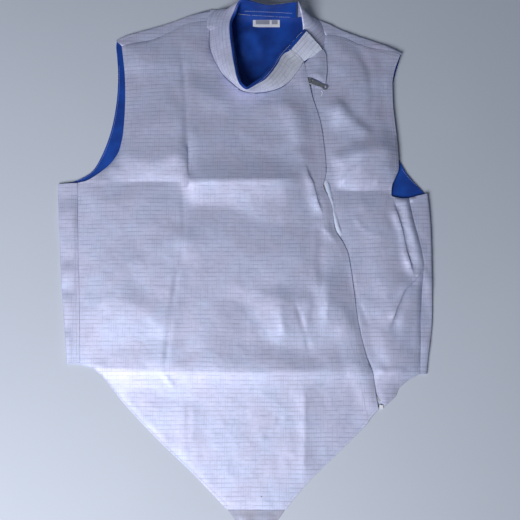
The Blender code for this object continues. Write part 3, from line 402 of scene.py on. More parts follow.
def facet_heights(xy, facets, ridges):
    """Height of the faceted cloth at the points."""
    for ridge in ridges:
        facets = facets + [tuple(p) for p in even([Vector(p) for p in ridge], RIDGE_STEP)]
    spots = [Vector(place(u, v)) for u, v, _ in facets]
    plan, _, faces, sources, _, _ = delaunay_2d_cdt(spots, [], [], 0, 1e-5)
    corners = [(*p, facets[source[0]][2]) for p, source in zip(plan, sources)]
    tree = BVHTree.FromPolygons(corners, faces)
    rim = KDTree(len(corners))
    for i, (x, y, _) in enumerate(corners):
        rim.insert((x, y, 0.0), i)
    rim.balance()
    heights = []
    for x, y in xy:
        hit = tree.ray_cast((x, y, 100.0), (0, 0, -1))[0]
        heights.append(hit.z if hit else corners[rim.find((x, y, 0.0))[1]][2])
    return np.array(heights)


def folded(facets, ridges):
    """Relief of a front: facets with soft edges, creases and small waves, calm along the panel's edge."""
    def relief(xy, edge, edges):
        air = AIR * smooth(edge / AIR_REACH) * smooth((xy[:, 1] - GROIN_TOP) / AIR_REACH)
        rise = air + relaxed(facet_heights(xy, facets, ridges), edges, FACET_ROUNDS)
        for wave, sizes in ((swell, SWELLS), (crumple, CRUMPLES)):
            for height, pitch, seed in sizes:
                rise = rise + height * wave(xy, pitch, seed)
        for crease in CREASES:
            rise = rise + crease_rise(xy, crease)
        rise = np.where(rise > TROUGH, rise, TROUGH * np.exp(np.minimum(rise - TROUGH, 0.0) / TROUGH))
        return rise * smooth(edge / EDGE_CALM) + SHOULDER_LIFT * smooth((xy[:, 1] - SHOULDERS) / SHOULDER_REACH)
    return relief


def hem_groove(edge, inset=4.2, depth=0.28, width=1.3):
    """The sewn line beside a hem, as a shallow groove."""
    return -depth * np.exp(-((edge - inset) / width) ** 2)


# Meshes


def add_object(name, data):
    piece = bpy.data.objects.new(name, data)
    bpy.context.scene.collection.objects.link(piece)
    return piece


def new_object(name, corners, faces, material, cloth=None):
    mesh = bpy.data.meshes.new(name)
    mesh.from_pydata([Vector(c) * MM for c in corners], [], faces)
    mesh.materials.append(material)
    mesh.shade_smooth()
    mesh.set_sharp_from_angle(angle=SHARP)
    piece = add_object(name, mesh)
    set_cloth(piece, cloth)
    return piece


def set_cloth(piece, cloth=None):
    """Stores where each point lies in the flat cloth, for the weave."""
    mesh = piece.data
    if cloth is None:
        cloth = [(v.co.x, v.co.y, v.co.z) for v in mesh.vertices]
    layer = mesh.attributes.new("cloth", "FLOAT_VECTOR", "POINT")
    layer.data.foreach_set("vector", np.array(cloth, np.float32).ravel())


def drift(xy, turn=0.0):
    """Weave coordinates of a flat panel in metres: a little off its own, as the cloth lies a little askew."""
    dx, dy = 1.2 * swell(xy, 70.0, 21.0), 2.0 * swell(xy, 90.0, 33.0) + 0.5 * swell(xy, 26.0, 35.0)
    x, y = xy[:, 0] + dx, xy[:, 1] + dy
    return np.column_stack([x * cos(turn) + y * sin(turn), y * cos(turn) - x * sin(turn), 0 * x]) * MM


def refined_panel(node, name, material, rise, thickness=CLOTH, pitch=PANEL_PITCH, turn=0.0,
                  hem=True, folds=()):
    """A fine shell over a flat panel's solid, which it replaces."""
    tree, ring = top_skin(node)
    ring = fine_ring(ring, pitch)
    inner = lattice(ring, pitch)
    if folds:
        sharp = fold_points(folds, ring)
        tree_sharp = nearest_tree(sharp)
        inner = sharp + [p for p in inner if tree_sharp.find((p[0], p[1], 0.0))[2] > 1.6]
    spots = [Vector(p) for p in ring + inner]
    points, _, faces, origins, _, _ = delaunay_2d_cdt(spots, [], [list(range(len(ring)))], 1, 1e-5)
    xy = np.array([tuple(p) for p in points])
    where = {source: k for k, sources in enumerate(origins) for source in sources}
    border = [where[i] for i in range(len(ring))]
    solid = np.array([solid_height(tree, x, y) for x, y in xy])
    edges = np.array([(a, b) for f in faces for a, b in zip(f, f[1:] + f[:1])])
    height = relaxed(solid, edges, 10)
    edge_tree = nearest_tree(ring)
    edge = np.array([edge_tree.find((x, y, 0.0))[2] for x, y in xy])
    height = np.maximum(height, solid - SLACK)
    height = relaxed(height, edges, 2) + rise(xy, edge, edges)
    height = np.maximum(height, solid - SLACK)
    if hem:
        height = height + hem_groove(edge)
    top = np.column_stack([xy, height])
    bottom = np.column_stack([xy, np.maximum(height - thickness, 0.0)])
    outward = rim_directions(xy[border])
    middle = np.column_stack([xy[border] + outward * 0.25, height[border] - thickness / 2])
    corners = np.vstack([top, bottom, middle])
    count, ring_size = len(xy), len(border)
    faces = [tuple(f) if area(xy, f) > 0 else tuple(reversed(f)) for f in faces]
    skins = faces + [tuple(i + count for i in reversed(f)) for f in faces]
    for i in range(ring_size):
        j = (i + 1) % ring_size
        a, b, m, n = border[i], border[j], 2 * count + i, 2 * count + j
        skins += [(a, m, n, b), (m, a + count, b + count, n)]
    cloth = drift(corners[:, :2], turn)
    piece = new_object(name, corners, skins, material, cloth)
    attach(piece, "vest")
    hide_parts(node)
    return piece


def area(xy, face):
    (ax, ay), (bx, by), (cx, cy) = (xy[i] for i in face[:3])
    return (bx - ax) * (cy - ay) - (by - ay) * (cx - ax)


def rim_directions(ring):
    """Unit vectors pointing out of an outline that runs counter-clockwise."""
    run = np.roll(ring, -1, axis=0) - np.roll(ring, 1, axis=0)
    size = np.maximum(np.linalg.norm(run, axis=1), 1e-6)
    return np.column_stack([run[:, 1], -run[:, 0]]) / size[:, None]


def solid_height(tree, x, y):
    hit = tree.ray_cast((x, y, 100.0), (0, 0, -1))[0]
    if hit is None:
        hit = tree.find_nearest((x, y, 5.0))[0]
    return hit.z


def rounded_copy(node, name, material, levels=2, sharp=50.0):
    """A node's form, subdivided into a smooth one whose sharp edges stay."""
    form = cad_form(node)
    bmesh.ops.join_triangles(form, faces=form.faces, angle_face_threshold=radians(25),
                             angle_shape_threshold=radians(60))
    bmesh.ops.scale(form, vec=(MM,) * 3, verts=form.verts)
    creases = form.edges.layers.float.new("crease_edge")
    for edge in form.edges:
        if len(edge.link_faces) == 2 and edge.calc_face_angle() > radians(sharp):
            edge[creases] = 1.0
    mesh = bpy.data.meshes.new(name)
    form.to_mesh(mesh)
    form.free()
    piece = add_object(name, mesh)
    finer = piece.modifiers.new("finer", "SUBSURF")
    finer.levels = finer.render_levels = levels
    evaluated = piece.evaluated_get(bpy.context.evaluated_depsgraph_get())
    piece.data = bpy.data.meshes.new_from_object(evaluated)
    piece.modifiers.clear()
    piece.data.materials.clear()
    piece.data.materials.append(material)
    piece.data.shade_smooth()
    piece.data.set_sharp_from_angle(angle=SHARP)
    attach(piece, "vest")
    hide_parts(node)
    return piece


def shape_points(piece, move):
    """Moves each point of a piece by what move(point, normal) returns, in millimetres."""
    mesh = piece.data
    moved = [Vector(v.co) + Vector(move(v.co / MM, v.normal.copy())) * MM for v in mesh.vertices]
    mesh.vertices.foreach_set("co", np.array([tuple(p) for p in moved], np.float32).ravel())
    mesh.update()


def search_tree(*pieces):
    """Search tree over finished pieces, in millimetres."""
    corners, faces = [], []
    for piece in pieces:
        start = len(corners)
        corners += [v.co / MM for v in piece.data.vertices]
        faces += [[start + i for i in p.vertices] for p in piece.data.polygons]
    return BVHTree.FromPolygons(corners, faces)


def seen(tree, u, v):
    """Spot and normal of the surface that shows at a pixel of the picture."""
    ahead = (AIM - EYE).normalized()
    up = Vector((0.0, cos(TILT), sin(TILT)))
    ray = ahead * LENS_PIXELS + Vector((1, 0, 0)) * (u - PICTURE / 2) + up * (PICTURE / 2 - v)
    spot, normal, _, _ = tree.ray_cast(EYE, ray.normalized())
    return spot, normal


# Sewing


def even(spots, pitch):
    """Points an even distance apart along a polyline."""
    total = [0.0]
    for a, b in zip(spots, spots[1:]):
        total.append(total[-1] + (b - a).length)
    found = []
    k = 0
    for i in range(int(total[-1] / pitch) + 1):
        goal = i * pitch
        while k < len(total) - 2 and total[k + 1] < goal:
            k += 1
        t = (goal - total[k]) / max(total[k + 1] - total[k], 1e-6)
        found.append(spots[k].lerp(spots[k + 1], t))
    return found


def add_stitch(corners, faces, centre, ahead, up, length, radius):
    """One stitch: a short thread, round in section, whose ends dip into the cloth."""
    across = up.cross(ahead)
    first = len(corners)
    rings, sides = ((-0.5, 0.35, -0.9), (-0.3, 1.0, 0.0), (0.3, 1.0, 0.0), (0.5, 0.35, -0.9)), 6
    for share, size, dip in rings:
        for i in range(sides):
            angle = 2 * pi * i / sides
            offset = across * cos(angle) * size + up * (sin(angle) * size + dip)
            corners.append(centre + ahead * (share * length) + offset * radius)
    for j in range(len(rings) - 1):
        for i in range(sides):
            a, b = first + j * sides + i, first + j * sides + (i + 1) % sides
            faces.append((a, b, b + sides, a + sides))
    faces.append(tuple(first + i for i in reversed(range(sides))))
    faces.append(tuple(first + (len(rings) - 1) * sides + i for i in range(sides)))


# Materials


class Shader:
    """A material's nodes, made one after another."""

    def __init__(self, name):
        self.material = bpy.data.materials.new(name)
        self.material.use_nodes = True
        self.tree = self.material.node_tree
        self.surface = self.tree.nodes["Principled BSDF"]

    def add(self, kind, inputs, **settings):
        node = self.tree.nodes.new(kind)
        for key, value in settings.items():
            setattr(node, key, value)
        for key, value in inputs.items():
            self.put(node.inputs[key], value)
        return node

    def put(self, socket, value):
        if isinstance(value, bpy.types.NodeSocket):
            self.tree.links.new(value, socket)
        else:
            socket.default_value = value

    def math(self, operation, a, b=0.0, c=0.0):
        return self.add("ShaderNodeMath", {0: a, 1: b, 2: c}, operation=operation).outputs[0]

    def times(self, a, b):
        return self.math("MULTIPLY", a, b)

    def ramp(self, value, low, high, to_low=0.0, to_high=1.0, soft=True):
        inputs = {"Value": value, "From Min": low, "From Max": high, "To Min": to_low, "To Max": to_high}
        kind = "SMOOTHSTEP" if soft else "LINEAR"
        return self.add("ShaderNodeMapRange", inputs, interpolation_type=kind).outputs[0]

    def noise(self, vector, scale, detail=2.0):
        inputs = {"Vector": vector, "Scale": scale, "Detail": detail}
        return self.add("ShaderNodeTexNoise", inputs).outputs["Fac"]

    def patches(self, a, a_scale, b, b_scale, detail=2.0):
        """Noise over two numbers, such as the way along a thread and the thread's number."""
        spot = self.add("ShaderNodeCombineXYZ", {0: self.times(a, a_scale), 1: self.times(b, b_scale)})
        return self.noise(spot.outputs[0], 1.0, detail)

    def mix(self, share, a, b):
        node = self.add("ShaderNodeMix", {}, data_type="RGBA")
        for socket, value in zip((node.inputs[0], node.inputs[6], node.inputs[7]), (share, a, b)):
            self.put(socket, value)
        return node.outputs[2]

    def cloth(self):
        """Weave coordinates in metres, and their two parts."""
        spot = self.add("ShaderNodeAttribute", {}, attribute_name="cloth").outputs["Vector"]
        parts = self.add("ShaderNodeSeparateXYZ", {0: spot})
        return spot, parts.outputs[0], parts.outputs[1]

    def pulse(self, value, pitch, share, shift=0.0):
        """1 on thin lines a pitch apart, 0 between them, and the number of the line."""
        row = self.math("MULTIPLY_ADD", value, 1.0 / pitch, shift)
        off = self.math("ABSOLUTE", self.math("SUBTRACT", self.math("FRACT", row), 0.5))
        return self.ramp(off, share, share * 0.45), self.math("FLOOR", row)

    def finish(self, colour, roughness, **values):
        self.put(self.surface.inputs["Base Color"], colour)
        self.put(self.surface.inputs["Roughness"], roughness)
        for key, value in values.items():
            self.put(self.surface.inputs[key.replace("_", " ").title().replace("Ior", "IOR")], value)
        return self.material

    def bump(self, height, strength, distance):
        node = self.add("ShaderNodeBump", {"Height": height, "Strength": strength, "Distance": distance * MM})
        self.put(self.surface.inputs["Normal"], node.outputs[0])


LEVEL_PITCH = 5.6 * MM        # dark threads across the cloth
UPRIGHT_PITCH = 3.0 * MM      # faint ones along it
WEAK_SHARE = 0.6              # strength of the threads between the dark ones
THREAD = 0.6 * MM
# Painted light: the tone the collar band is painted towards where its real front would catch more light
PAINTED_LIGHT_TONE = (0.74, 0.78, 0.92, 1)
STAIN = [c * MM for c in place(261.5, 497)]
STAIN_HALF = 1.9
STAIN_BROWN = (0.16, 0.11, 0.08, 1)


def lame_material(name, silver=(0.55, 0.61, 0.84, 1), mauve=(0.56, 0.58, 0.79, 1), dark=(0.20, 0.22, 0.34, 1),
                  line=0.41, upright=0.24, painted_light_stretch=None, stain=None, metal=0.36):
    """Silvery cloth with dark level threads that come and go, and faint upright ones.

    A stretch of the band, in metres, may be given over which painted light makes it grow lighter; stain is a spot in
    metres.
    """
    s = Shader(name)
    spot, x, y = s.cloth()
    strong, row = s.pulse(y, LEVEL_PITCH, 0.17)
    weak, weak_row = s.pulse(y, LEVEL_PITCH / 2, 0.24, 0.25)
    broken = s.ramp(s.patches(x, 55.0, row, 3.71, 3.0), 0.36, 0.62, 0.35, 1.0)
    patchy = s.ramp(s.patches(x, 90.0, weak_row, 2.17), 0.42, 0.68)
    thin, column = s.pulse(x, UPRIGHT_PITCH, 0.3)
    cloudy = s.ramp(s.patches(column, 5.3, y, 45.0), 0.4, 0.64, 0.15, 1.0)
    lines = s.times(s.times(strong, broken), line)
    lines = s.math("MAXIMUM", lines, s.times(s.times(weak, patchy), line * WEAK_SHARE))
    lines = s.math("MAXIMUM", lines, s.times(s.times(thin, cloudy), upright))
    worn = s.ramp(s.noise(spot, 24.0, 4.0), 0.36, 0.64)
    ground = s.mix(worn, mauve, silver)
    # Painted light: the band is painted lighter over the given stretch along its length
    if painted_light_stretch:
        ground = s.mix(s.ramp(x, *painted_light_stretch), ground, PAINTED_LIGHT_TONE)
    if stain:
        ground = s.mix(stain_mask(s, stain), ground, STAIN_BROWN)
    rough = s.ramp(s.noise(spot, 30.0, 3.0), 0.3, 0.7, 0.45, 0.53)
    weave = woven(s, x, y, THREAD)
    s.bump(s.math("SUBTRACT", weave, s.times(lines, 0.8)), 0.5, 0.12)
    return s.finish(s.mix(lines, ground, dark), rough, metallic=metal, sheen_weight=0.1, sheen_roughness=0.4)


def stain_mask(s, spot):
    """1 inside a small three-cornered stain with an uneven edge."""
    where = s.add("ShaderNodeTexCoord", {}).outputs["Object"]
    parts = s.add("ShaderNodeSeparateXYZ", {0: where})
    x, y = (s.math("SUBTRACT", parts.outputs[i], spot[i]) for i in (0, 1))
    sides = [s.math("ADD", s.times(x, cos(radians(angle))), s.times(y, sin(radians(angle))))
             for angle in (90, 215, 325)]
    reach = s.math("MAXIMUM", s.math("MAXIMUM", sides[0], sides[1]), sides[2])
    uneven = s.noise(where, 900.0, 3.0)
    return s.ramp(s.math("MULTIPLY_ADD", uneven, 1.2 * MM, reach), STAIN_HALF * MM, 0.5 * STAIN_HALF * MM, 0.0, 0.75)


def woven(s, x, y, pitch):
    """Height of a plain weave: threads over and under each other."""
    turn = 2 * pi / pitch
    level = s.math("SINE", s.times(y, turn))
    upright = s.math("SINE", s.times(x, turn))
    half = s.math("SINE", s.times(s.math("ADD", x, y), turn / 2))
    return s.math("ADD", s.times(level, 0.35), s.times(s.times(upright, half), 0.4))


def plain_cloth(name, colour, deep, roughness, sheen, pitch=0.5 * MM, strength=0.35, specular=0.5):
    """Closely woven cloth of one dye, a little uneven in tone."""
    s = Shader(name)
    spot, x, y = s.cloth()
    tone = s.ramp(s.noise(spot, 45.0, 4.0), 0.3, 0.7)
    s.bump(woven(s, x, y, pitch), strength, 0.1)
    rough = s.ramp(s.noise(spot, 80.0), 0.3, 0.7, roughness - 0.05, roughness + 0.05)
    return s.finish(s.mix(tone, deep, colour), rough, sheen_weight=sheen, specular_ior_level=specular)


def hard_material(name, colour, worn, roughness, metallic):
    """Metal or moulding with fine scuffs."""
    s = Shader(name)
    spot = s.add("ShaderNodeTexCoord", {}).outputs["Object"]
    scuff = s.ramp(s.noise(spot, 900.0, 4.0), 0.45, 0.65)
    s.bump(s.noise(spot, 1500.0, 3.0), 0.15, 0.08)
    return s.finish(s.mix(scuff, colour, worn), s.ramp(scuff, 0.0, 1.0, roughness, roughness + 0.15),
                    metallic=metallic)


LAME = lame_material("lame_cloth")
FRONT_LAME = lame_material("front_cloth", stain=STAIN)
# The collar band's cloth, painted lighter from 80 to 160 mm along its rim as painted light
BAND_LAME = lame_material("band_cloth", line=0.4, upright=0.3, painted_light_stretch=(0.08, 0.16))
# The collar's tab: the same lamé painted much lighter, as painted light where the tab leans towards the lamp
PAINTED_LIGHT_TAB_LAME = lame_material("painted_light_tab_cloth", (0.74, 0.82, 1.0, 1), (0.73, 0.77, 0.97, 1), line=0.4, upright=0.3,
                         metal=0.15)
STRAP_LAME = lame_material("strap_cloth", (0.36, 0.39, 0.52, 1), (0.38, 0.38, 0.47, 1), line=0.4, upright=0.3)
BLUE = plain_cloth("blue_lining", (0.006, 0.060, 0.36, 1), (0.004, 0.036, 0.24, 1), 0.6, 0.08, specular=0.25)
TAPE = plain_cloth("zip_tape_cloth", (0.62, 0.70, 0.90, 1), (0.52, 0.60, 0.80, 1), 0.7, 0.1, 0.9 * MM)
LABEL = plain_cloth("label_cloth", (0.78, 0.80, 0.84, 1), (0.68, 0.70, 0.76, 1), 0.6, 0.1, 0.4 * MM)
LABEL_GREY = plain_cloth("label_grey", (0.33, 0.35, 0.42, 1), (0.26, 0.28, 0.34, 1), 0.6, 0.1, 0.4 * MM)
GREY_THREAD = plain_cloth("grey_thread", (0.50, 0.51, 0.60, 1), (0.40, 0.41, 0.50, 1), 0.6, 0.2, 0.3 * MM)
WHITE_THREAD = plain_cloth("white_thread", (0.80, 0.83, 0.92, 1), (0.68, 0.72, 0.84, 1), 0.6, 0.2, 0.3 * MM)
PALE_BLUE_THREAD = plain_cloth("pale_blue_thread", (0.34, 0.42, 0.78, 1), (0.28, 0.36, 0.70, 1), 0.6, 0.2, 0.3 * MM)
METAL = hard_material("zip_metal", (0.44, 0.46, 0.50, 1), (0.66, 0.68, 0.72, 1), 0.28, 0.9)
MOULDING = hard_material("zip_moulding", (0.80, 0.82, 0.86, 1), (0.70, 0.72, 0.78, 1), 0.4, 0.0)


# Panels


def small_swell(xy, edge, edges):
    return (0.5 + 0.4 * swell(xy, 12.0, 4.0)) * smooth(edge / 8.0)


front_right = refined_panel("front_right", "front_right_cloth", FRONT_LAME, folded(FACETS_RIGHT, RIDGES_RIGHT),
                            folds=CREASES)
front_left = refined_panel("front_left", "front_left_cloth", LAME, folded(FACETS_LEFT, RIDGES_LEFT),
                           folds=CREASES)
crotch_tab = refined_panel("crotch_tab", "crotch_tab_cloth", STRAP_LAME, small_swell)


FLAP_FOOT = (88.0, 232.0)  # the zip flap lies down up to this x and this y
FLAP_REACH = (18.0, 25.0)
FLAP_LIFT = 2.2


def flap_lift(xy, edge, edges):
    """The flap stands up towards its free side."""
    free = smooth((xy - FLAP_FOOT) / FLAP_REACH)
    return small_swell(xy, edge, edges) + FLAP_LIFT * (free[:, 0] * free[:, 1])


zip_flap = refined_panel("zip_flap", "zip_flap_cloth", LAME, flap_lift, pitch=1.5, hem=False)


NECK = (12.0, 300.0)      # middle of the lining that shows in the neck, and its radii
NECK_RADII = (30.0, 32.0)
# Folds there: both ends, width, height
NECK_FOLDS = [((-14, 312), (14, 326), 6, 2.5), ((-6, 280), (8, 312), 7, 2.2), ((24, 292), (14, 322), 6, 1.8)]


def neck_folds(xy, edge, edges):
    """Soft folds of the back's lining where it shows in the neck."""
    x, y = xy[:, 0] - NECK[0], xy[:, 1] - NECK[1]
    open_part = smooth((1.0 - np.hypot(x / NECK_RADII[0], y / NECK_RADII[1])) / 0.5)
    waves = 1.5 + 1.6 * swell(xy, 22.0, 12.0)
    for a, b, width, height in NECK_FOLDS:
        run = np.subtract(b, a).astype(float)
        t = np.clip((xy - a) @ run / (run @ run), 0, 1)
        off = xy - a - t[:, None] * run
        waves = waves + height * np.exp(-(np.hypot(off[:, 0], off[:, 1]) / width) ** 2)
    return np.maximum(waves, 0.0) * open_part


back_lining = refined_panel("back_lining", "back_lining_cloth", BLUE, neck_folds, LINING, 4.0, hem=False)

ARMHOLE_IN = 3.4          # the back's edge draws in this far in the wearer's left armhole
LINING_TO_COLLAR = 3.6    # the lining's rise to the collar's foot
LINING_SHORT = 14.0       # it ends this far inside the right shoulder
STRIP_EDGE = -200.0    # the wearer's right strip lies beyond this x
STRIP_FOLD = -236.0
STRIP_TILT = 0.11
SHOULDER_JOIN = 14.0      # the right shoulder reaches this far to the collar's foot

# Puckers of the back's turned strips: pixel, half widths across and along, height
STRIP_PUCKERS = [(66, 190, 9, 6, 0.6), (425, 214, 7, 14, 1.2), (427, 246, 6, 10, -1.0), (428, 282, 6, 12, 1.2),
                 (427, 312, 6, 12, -1.0), (425, 344, 7, 14, 1.0), (150, 35, 12, 6, 0.9), (190, 20, 12, 6, 0.9),
                 (345, 34, 12, 5, 0.9), (380, 46, 12, 5, 0.9)]
# Waves down the wearer's right strip: row of the picture, height
STRIP_WAVES = [(184, 1.4), (197, 0.0), (210, 2.2), (222, 2.4), (261, -1.0), (268, 1.0), (274, 1.2), (291, -1.0),
               (298, 0.8), (302, 0.9), (330, -0.8), (338, 0.9), (362, -0.2)]


def left_armhole(point):
    """How far the back's edge draws in along the lower part of the wearer's left armhole."""
    inside = smooth((point.x - 180.0) / 12.0) * smooth((214.0 - point.x) / 8.0)
    return -ARMHOLE_IN * inside * smooth((point.y - 124.0) / 14.0) * smooth((218.0 - point.y) / 16.0)


def lining_relief(point, normal):
    """The lining rises to the collar's foot at the back of the neck and stays short of the hem."""
    rise = LINING_TO_COLLAR * smooth((point.y - 334.0) / 9.0) * smooth((70.0 - abs(point.x - 18.0)) / 12.0)
    short = LINING_SHORT * smooth((point.y - 330.0) / 10.0) * smooth((-28.0 - point.x) / 10.0)
    return (short + left_armhole(point), 0.35 * max(0.0, -135.0 - point.y), rise)


shape_points(back_lining, lining_relief)
back = rounded_copy("back", "back_cloth", LAME)


def back_relief(point, normal):
    """Puckers of the turned sides and shoulders; the shoulders reach up to the collar's foot."""
    if normal.z < 0.3 or point.z < 2.5:
        return (left_armhole(point), 0, 0)
    wave = noise.noise(Vector((point.x / 16, point.y / 24, 2.0)))
    wave += 0.6 * noise.noise(Vector((point.x / 8, point.y / 9, 6.0)))
    for u, v, across, along, height in STRIP_PUCKERS:
        x, y = place(u, v)
        wave += height * np.exp(-((point.x - x) / across) ** 2 - ((point.y - y) / along) ** 2)
    if point.x < STRIP_EDGE:
        rows, heights = zip(*[(-place(70, v)[1], h) for v, h in STRIP_WAVES])
        wave = 0.6 * wave + 1.0 * np.interp(-point.y, rows, heights)
        wave = (wave + STRIP_TILT * (point.x - STRIP_FOLD)) * smooth((-222.0 - point.x) / 7.0)
    reach = 0.0
    if point.y > 330.0 and -75.0 < point.x < -40.0:
        reach = SHOULDER_JOIN * max(0.0, 1.0 - (-47.0 - point.x) / 28.0)
    return (reach + left_armhole(point), 0, 0.7 * wave)


shape_points(back, back_relief)
set_cloth(back)

# Collar

RIM = [(13, 347, 37), (1, 350, 38), (-6, 349.5, 36), (-10.5, 344.5, 31), (-14, 337.5, 26), (-18, 329.5, 24),
       (-20.6, 318.5, 25), (-19.2, 297.5, 24), (-15.6, 273.2, 24), (-12.7, 254, 29), (-10.3, 240, 32),
       (-6.2, 228.7, 33), (-0.8, 222.5, 33), (3.5, 222, 32), (9.3, 228, 30), (22, 239, 27), (30.3, 249.5, 24),
       (39.6, 263.5, 21), (49, 282, 18), (54.5, 285.5, 17), (59.3, 289.5, 17.5), (67, 298.5, 17.5),
       (74.5, 308, 17), (81.5, 317, 16)]
RIM = [Vector((x + 2.5, y, z)) for x, y, z in RIM]
COLLAR_FLARE = 6.0        # the foot spreads this far at the wearer's right shoulder
COLLAR_SINK = 2.6         # and sinks this far into the shoulder seam on the left
COLLAR_MIDDLE = Vector((22.0, 285.0, 0.0))
FOOT_LOW, FOOT_REACH = 5.0, 8.0     # height of the collar's foot, and how far up it reaches
TAB_TUCK = Vector((-2.8, -7.6, -2.4))
TAB_TUCK_REACH = 14.0
TAB_END = (Vector((110.5, 291.0)), Vector((84.0, 317.0)))
BACK_RIM = [Vector((81.5, 341, 30)), Vector((75, 346.5, 36.5)), Vector((55.5, 346, 35)), Vector((34, 345.8, 31)),
            Vector((15.5, 347, 37))]


def band_cloth(piece, rim):
    """Weave coordinates along and across a band of the collar."""
    line = even(curve(rim, 2.0), 2.0)
    tree = KDTree(len(line))
    for i, spot in enumerate(line):
        tree.insert(spot, i)
    tree.balance()
    cloth = []
    for vertex in piece.data.vertices:
        spot, i, away = tree.find(vertex.co / MM)
        ahead = (line[min(i + 1, len(line) - 1)] - line[max(i - 1, 0)]).normalized()
        shift = (vertex.co / MM - spot).dot(ahead)
        cloth.append(((i * 2.0 + shift) * MM, away * MM, 0.0))
    set_cloth(piece, cloth)


def above_foot(point):
    return min(max((point.z - FOOT_LOW) / FOOT_REACH, 0.0), 1.0)


def collar_relief(point, normal):
    """Slow waves of the collar, the same for its cloth and its lining."""
    wave = noise.noise(Vector((point.x / 14, point.y / 14, point.z / 16))) * 0.8
    wave += noise.noise(Vector((point.x / 6, point.y / 6, point.z / 10 + 5))) * 0.3
    outward = Vector((point.x - COLLAR_MIDDLE.x, point.y - COLLAR_MIDDLE.y, 0.0)).normalized()
    foot = above_foot(point)
    move = outward * wave * foot
    if point.y > 322.0 and point.x < -25.0:
        move += outward * COLLAR_FLARE * (1.0 - foot)
    if point.y > 300.0 and point.x > 50.0:
        move.z -= min(COLLAR_SINK, point.z - FLOOR_CLEAR) * (1.0 - foot)
    return move


def left_collar_relief(point, normal):
    """The wearer's left end of the collar also spreads at its foot and tucks under the tab."""
    move = Vector(collar_relief(point, normal))
    if point.x > 95.0:
        move += Vector((COLLAR_FLARE * (1.0 - above_foot(point)), 0.0, 0.0))
    a, b = TAB_END
    run = b - a
    spot = Vector((point.x, point.y)) - a
    away = abs(run.x * spot.y - run.y * spot.x) / run.length
    move += TAB_TUCK * max(0.0, 1.0 - away / TAB_TUCK_REACH)
    move.z = max(move.z, FLOOR_CLEAR - point.z)
    return move


collar = {}
for part, rim in (("collar_right", RIM), ("collar_tab", RIM), ("collar_back", BACK_RIM), ("collar_left", BACK_RIM),
                  ("collar_lining", RIM)):
    material = {"collar_lining": BLUE, "collar_tab": PAINTED_LIGHT_TAB_LAME}.get(part, BAND_LAME)
    collar[part] = rounded_copy(part, part + "_cloth", material)
    shape_points(collar[part], left_collar_relief if part == "collar_left" else collar_relief)
    band_cloth(collar[part], rim)

# Rolled edge of the lining over the collar's rim: (share of the rim, reach down the outside)
ROLL_REACH = [(0.0, 0.6), (0.42, 1.0), (0.56, 2.2), (0.66, 3.6), (0.9, 4.2), (1.0, 3.2)]


def rolled_edge():
    line = even(curve(RIM, 1.5), 1.5)
    outer, inner = search_tree(collar["collar_right"], collar["collar_tab"]), search_tree(collar["collar_lining"])
    shares, reaches = zip(*ROLL_REACH)
    corners, faces = [], []
    for i, spot in enumerate(line):
        ahead = (line[min(i + 1, len(line) - 1)] - line[max(i - 1, 0)]).normalized()
        outward = ahead.cross(Vector((0, 0, 1))).normalized()
        if outward.dot(spot - Vector((*COLLAR_MIDDLE.xy, spot.z))) < 0:
            outward = -outward
        down = (outward * 0.6 - Vector((0, 0, 0.8))).normalized()
        reach = np.interp(i / (len(line) - 1), shares, reaches)
        ring = [inner.find_nearest(spot - outward * 2.0 - Vector((0, 0, 2.5)))[0] - outward * 0.25,
                inner.find_nearest(spot - outward * 1.0)[0] - outward * 0.35]
        for share in (0.0, 0.35, 0.7, 1.0):
            goal = outer.find_nearest(spot + down * reach * share + outward * 1.5 + Vector((0, 0, 0.6)))[0]
            ring.append(goal + (outward * 0.6 + Vector((0, 0, 0.8))) * (0.75 - 0.3 * share))
        goal = outer.find_nearest(spot + down * (reach + 0.3) + outward * 1.5)[0]
        ring.append(goal - outward * 0.3)
        corners += ring
        if i:
            size = len(ring)
            first = (i - 1) * size
            faces += [(first + j, first + j + 1, first + size + j + 1, first + size + j) for j in range(size - 1)]
    piece = new_object("collar_edge", corners, faces, BLUE)
    thick = piece.modifiers.new("thick", "SOLIDIFY")
    thick.thickness, thick.offset = 0.3 * MM, 0.0
    finer = piece.modifiers.new("finer", "SUBSURF")
    finer.levels = finer.render_levels = 1
    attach(piece, "vest")
    return piece


collar_edge = rolled_edge()

# Zip


def chain_line():
    """Middle of the closed zip's underside, row by row from the top."""
    rows = {}
    form = cad_form("zip_chain")
    for vertex in form.verts:
        rows.setdefault(round(vertex.co.y, 1), []).append(vertex.co.copy())
    form.free()
    return [Vector((sum(p.x for p in row) / len(row), y, min(p.z for p in row)))
            for y, row in sorted(rows.items(), reverse=True)]


TOOTH_PITCH = 1.5
TOOTH_SIZE = Vector((1.5, 0.95, 1.1))


def make_teeth():
    line = even(chain_line(), TOOTH_PITCH / 2)
    form = bmesh.new()
    for i, (a, b) in enumerate(zip(line, line[1:])):
        ahead = (b - a).normalized()
        side = Vector((-ahead.y, ahead.x, 0.0)) * (1 if i % 2 else -1)
        centre = (a + b) / 2 + side * 0.75 + Vector((0, 0, TOOTH_SIZE.z / 2 + 0.08))
        turn = Matrix((side, ahead, Vector((0, 0, 1)))).transposed().to_4x4()
        cube = bmesh.ops.create_cube(form, size=1.0, matrix=Matrix.Translation(centre) @ turn @ Matrix.Diagonal(
            (*TOOTH_SIZE, 1.0)))
        for vertex in cube["verts"]:
            if vertex.co.z > centre.z:
                vertex.co = centre + (vertex.co - centre) * 0.86
    bmesh.ops.recalc_face_normals(form, faces=form.faces)
    mesh = bpy.data.meshes.new("zip_teeth")
    bmesh.ops.scale(form, vec=(MM,) * 3, verts=form.verts)
    form.to_mesh(mesh)
    form.free()
    mesh.materials.append(MOULDING)
    piece = add_object("zip_teeth", mesh)
    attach(piece, "vest")
    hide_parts("zip_chain")
    return piece


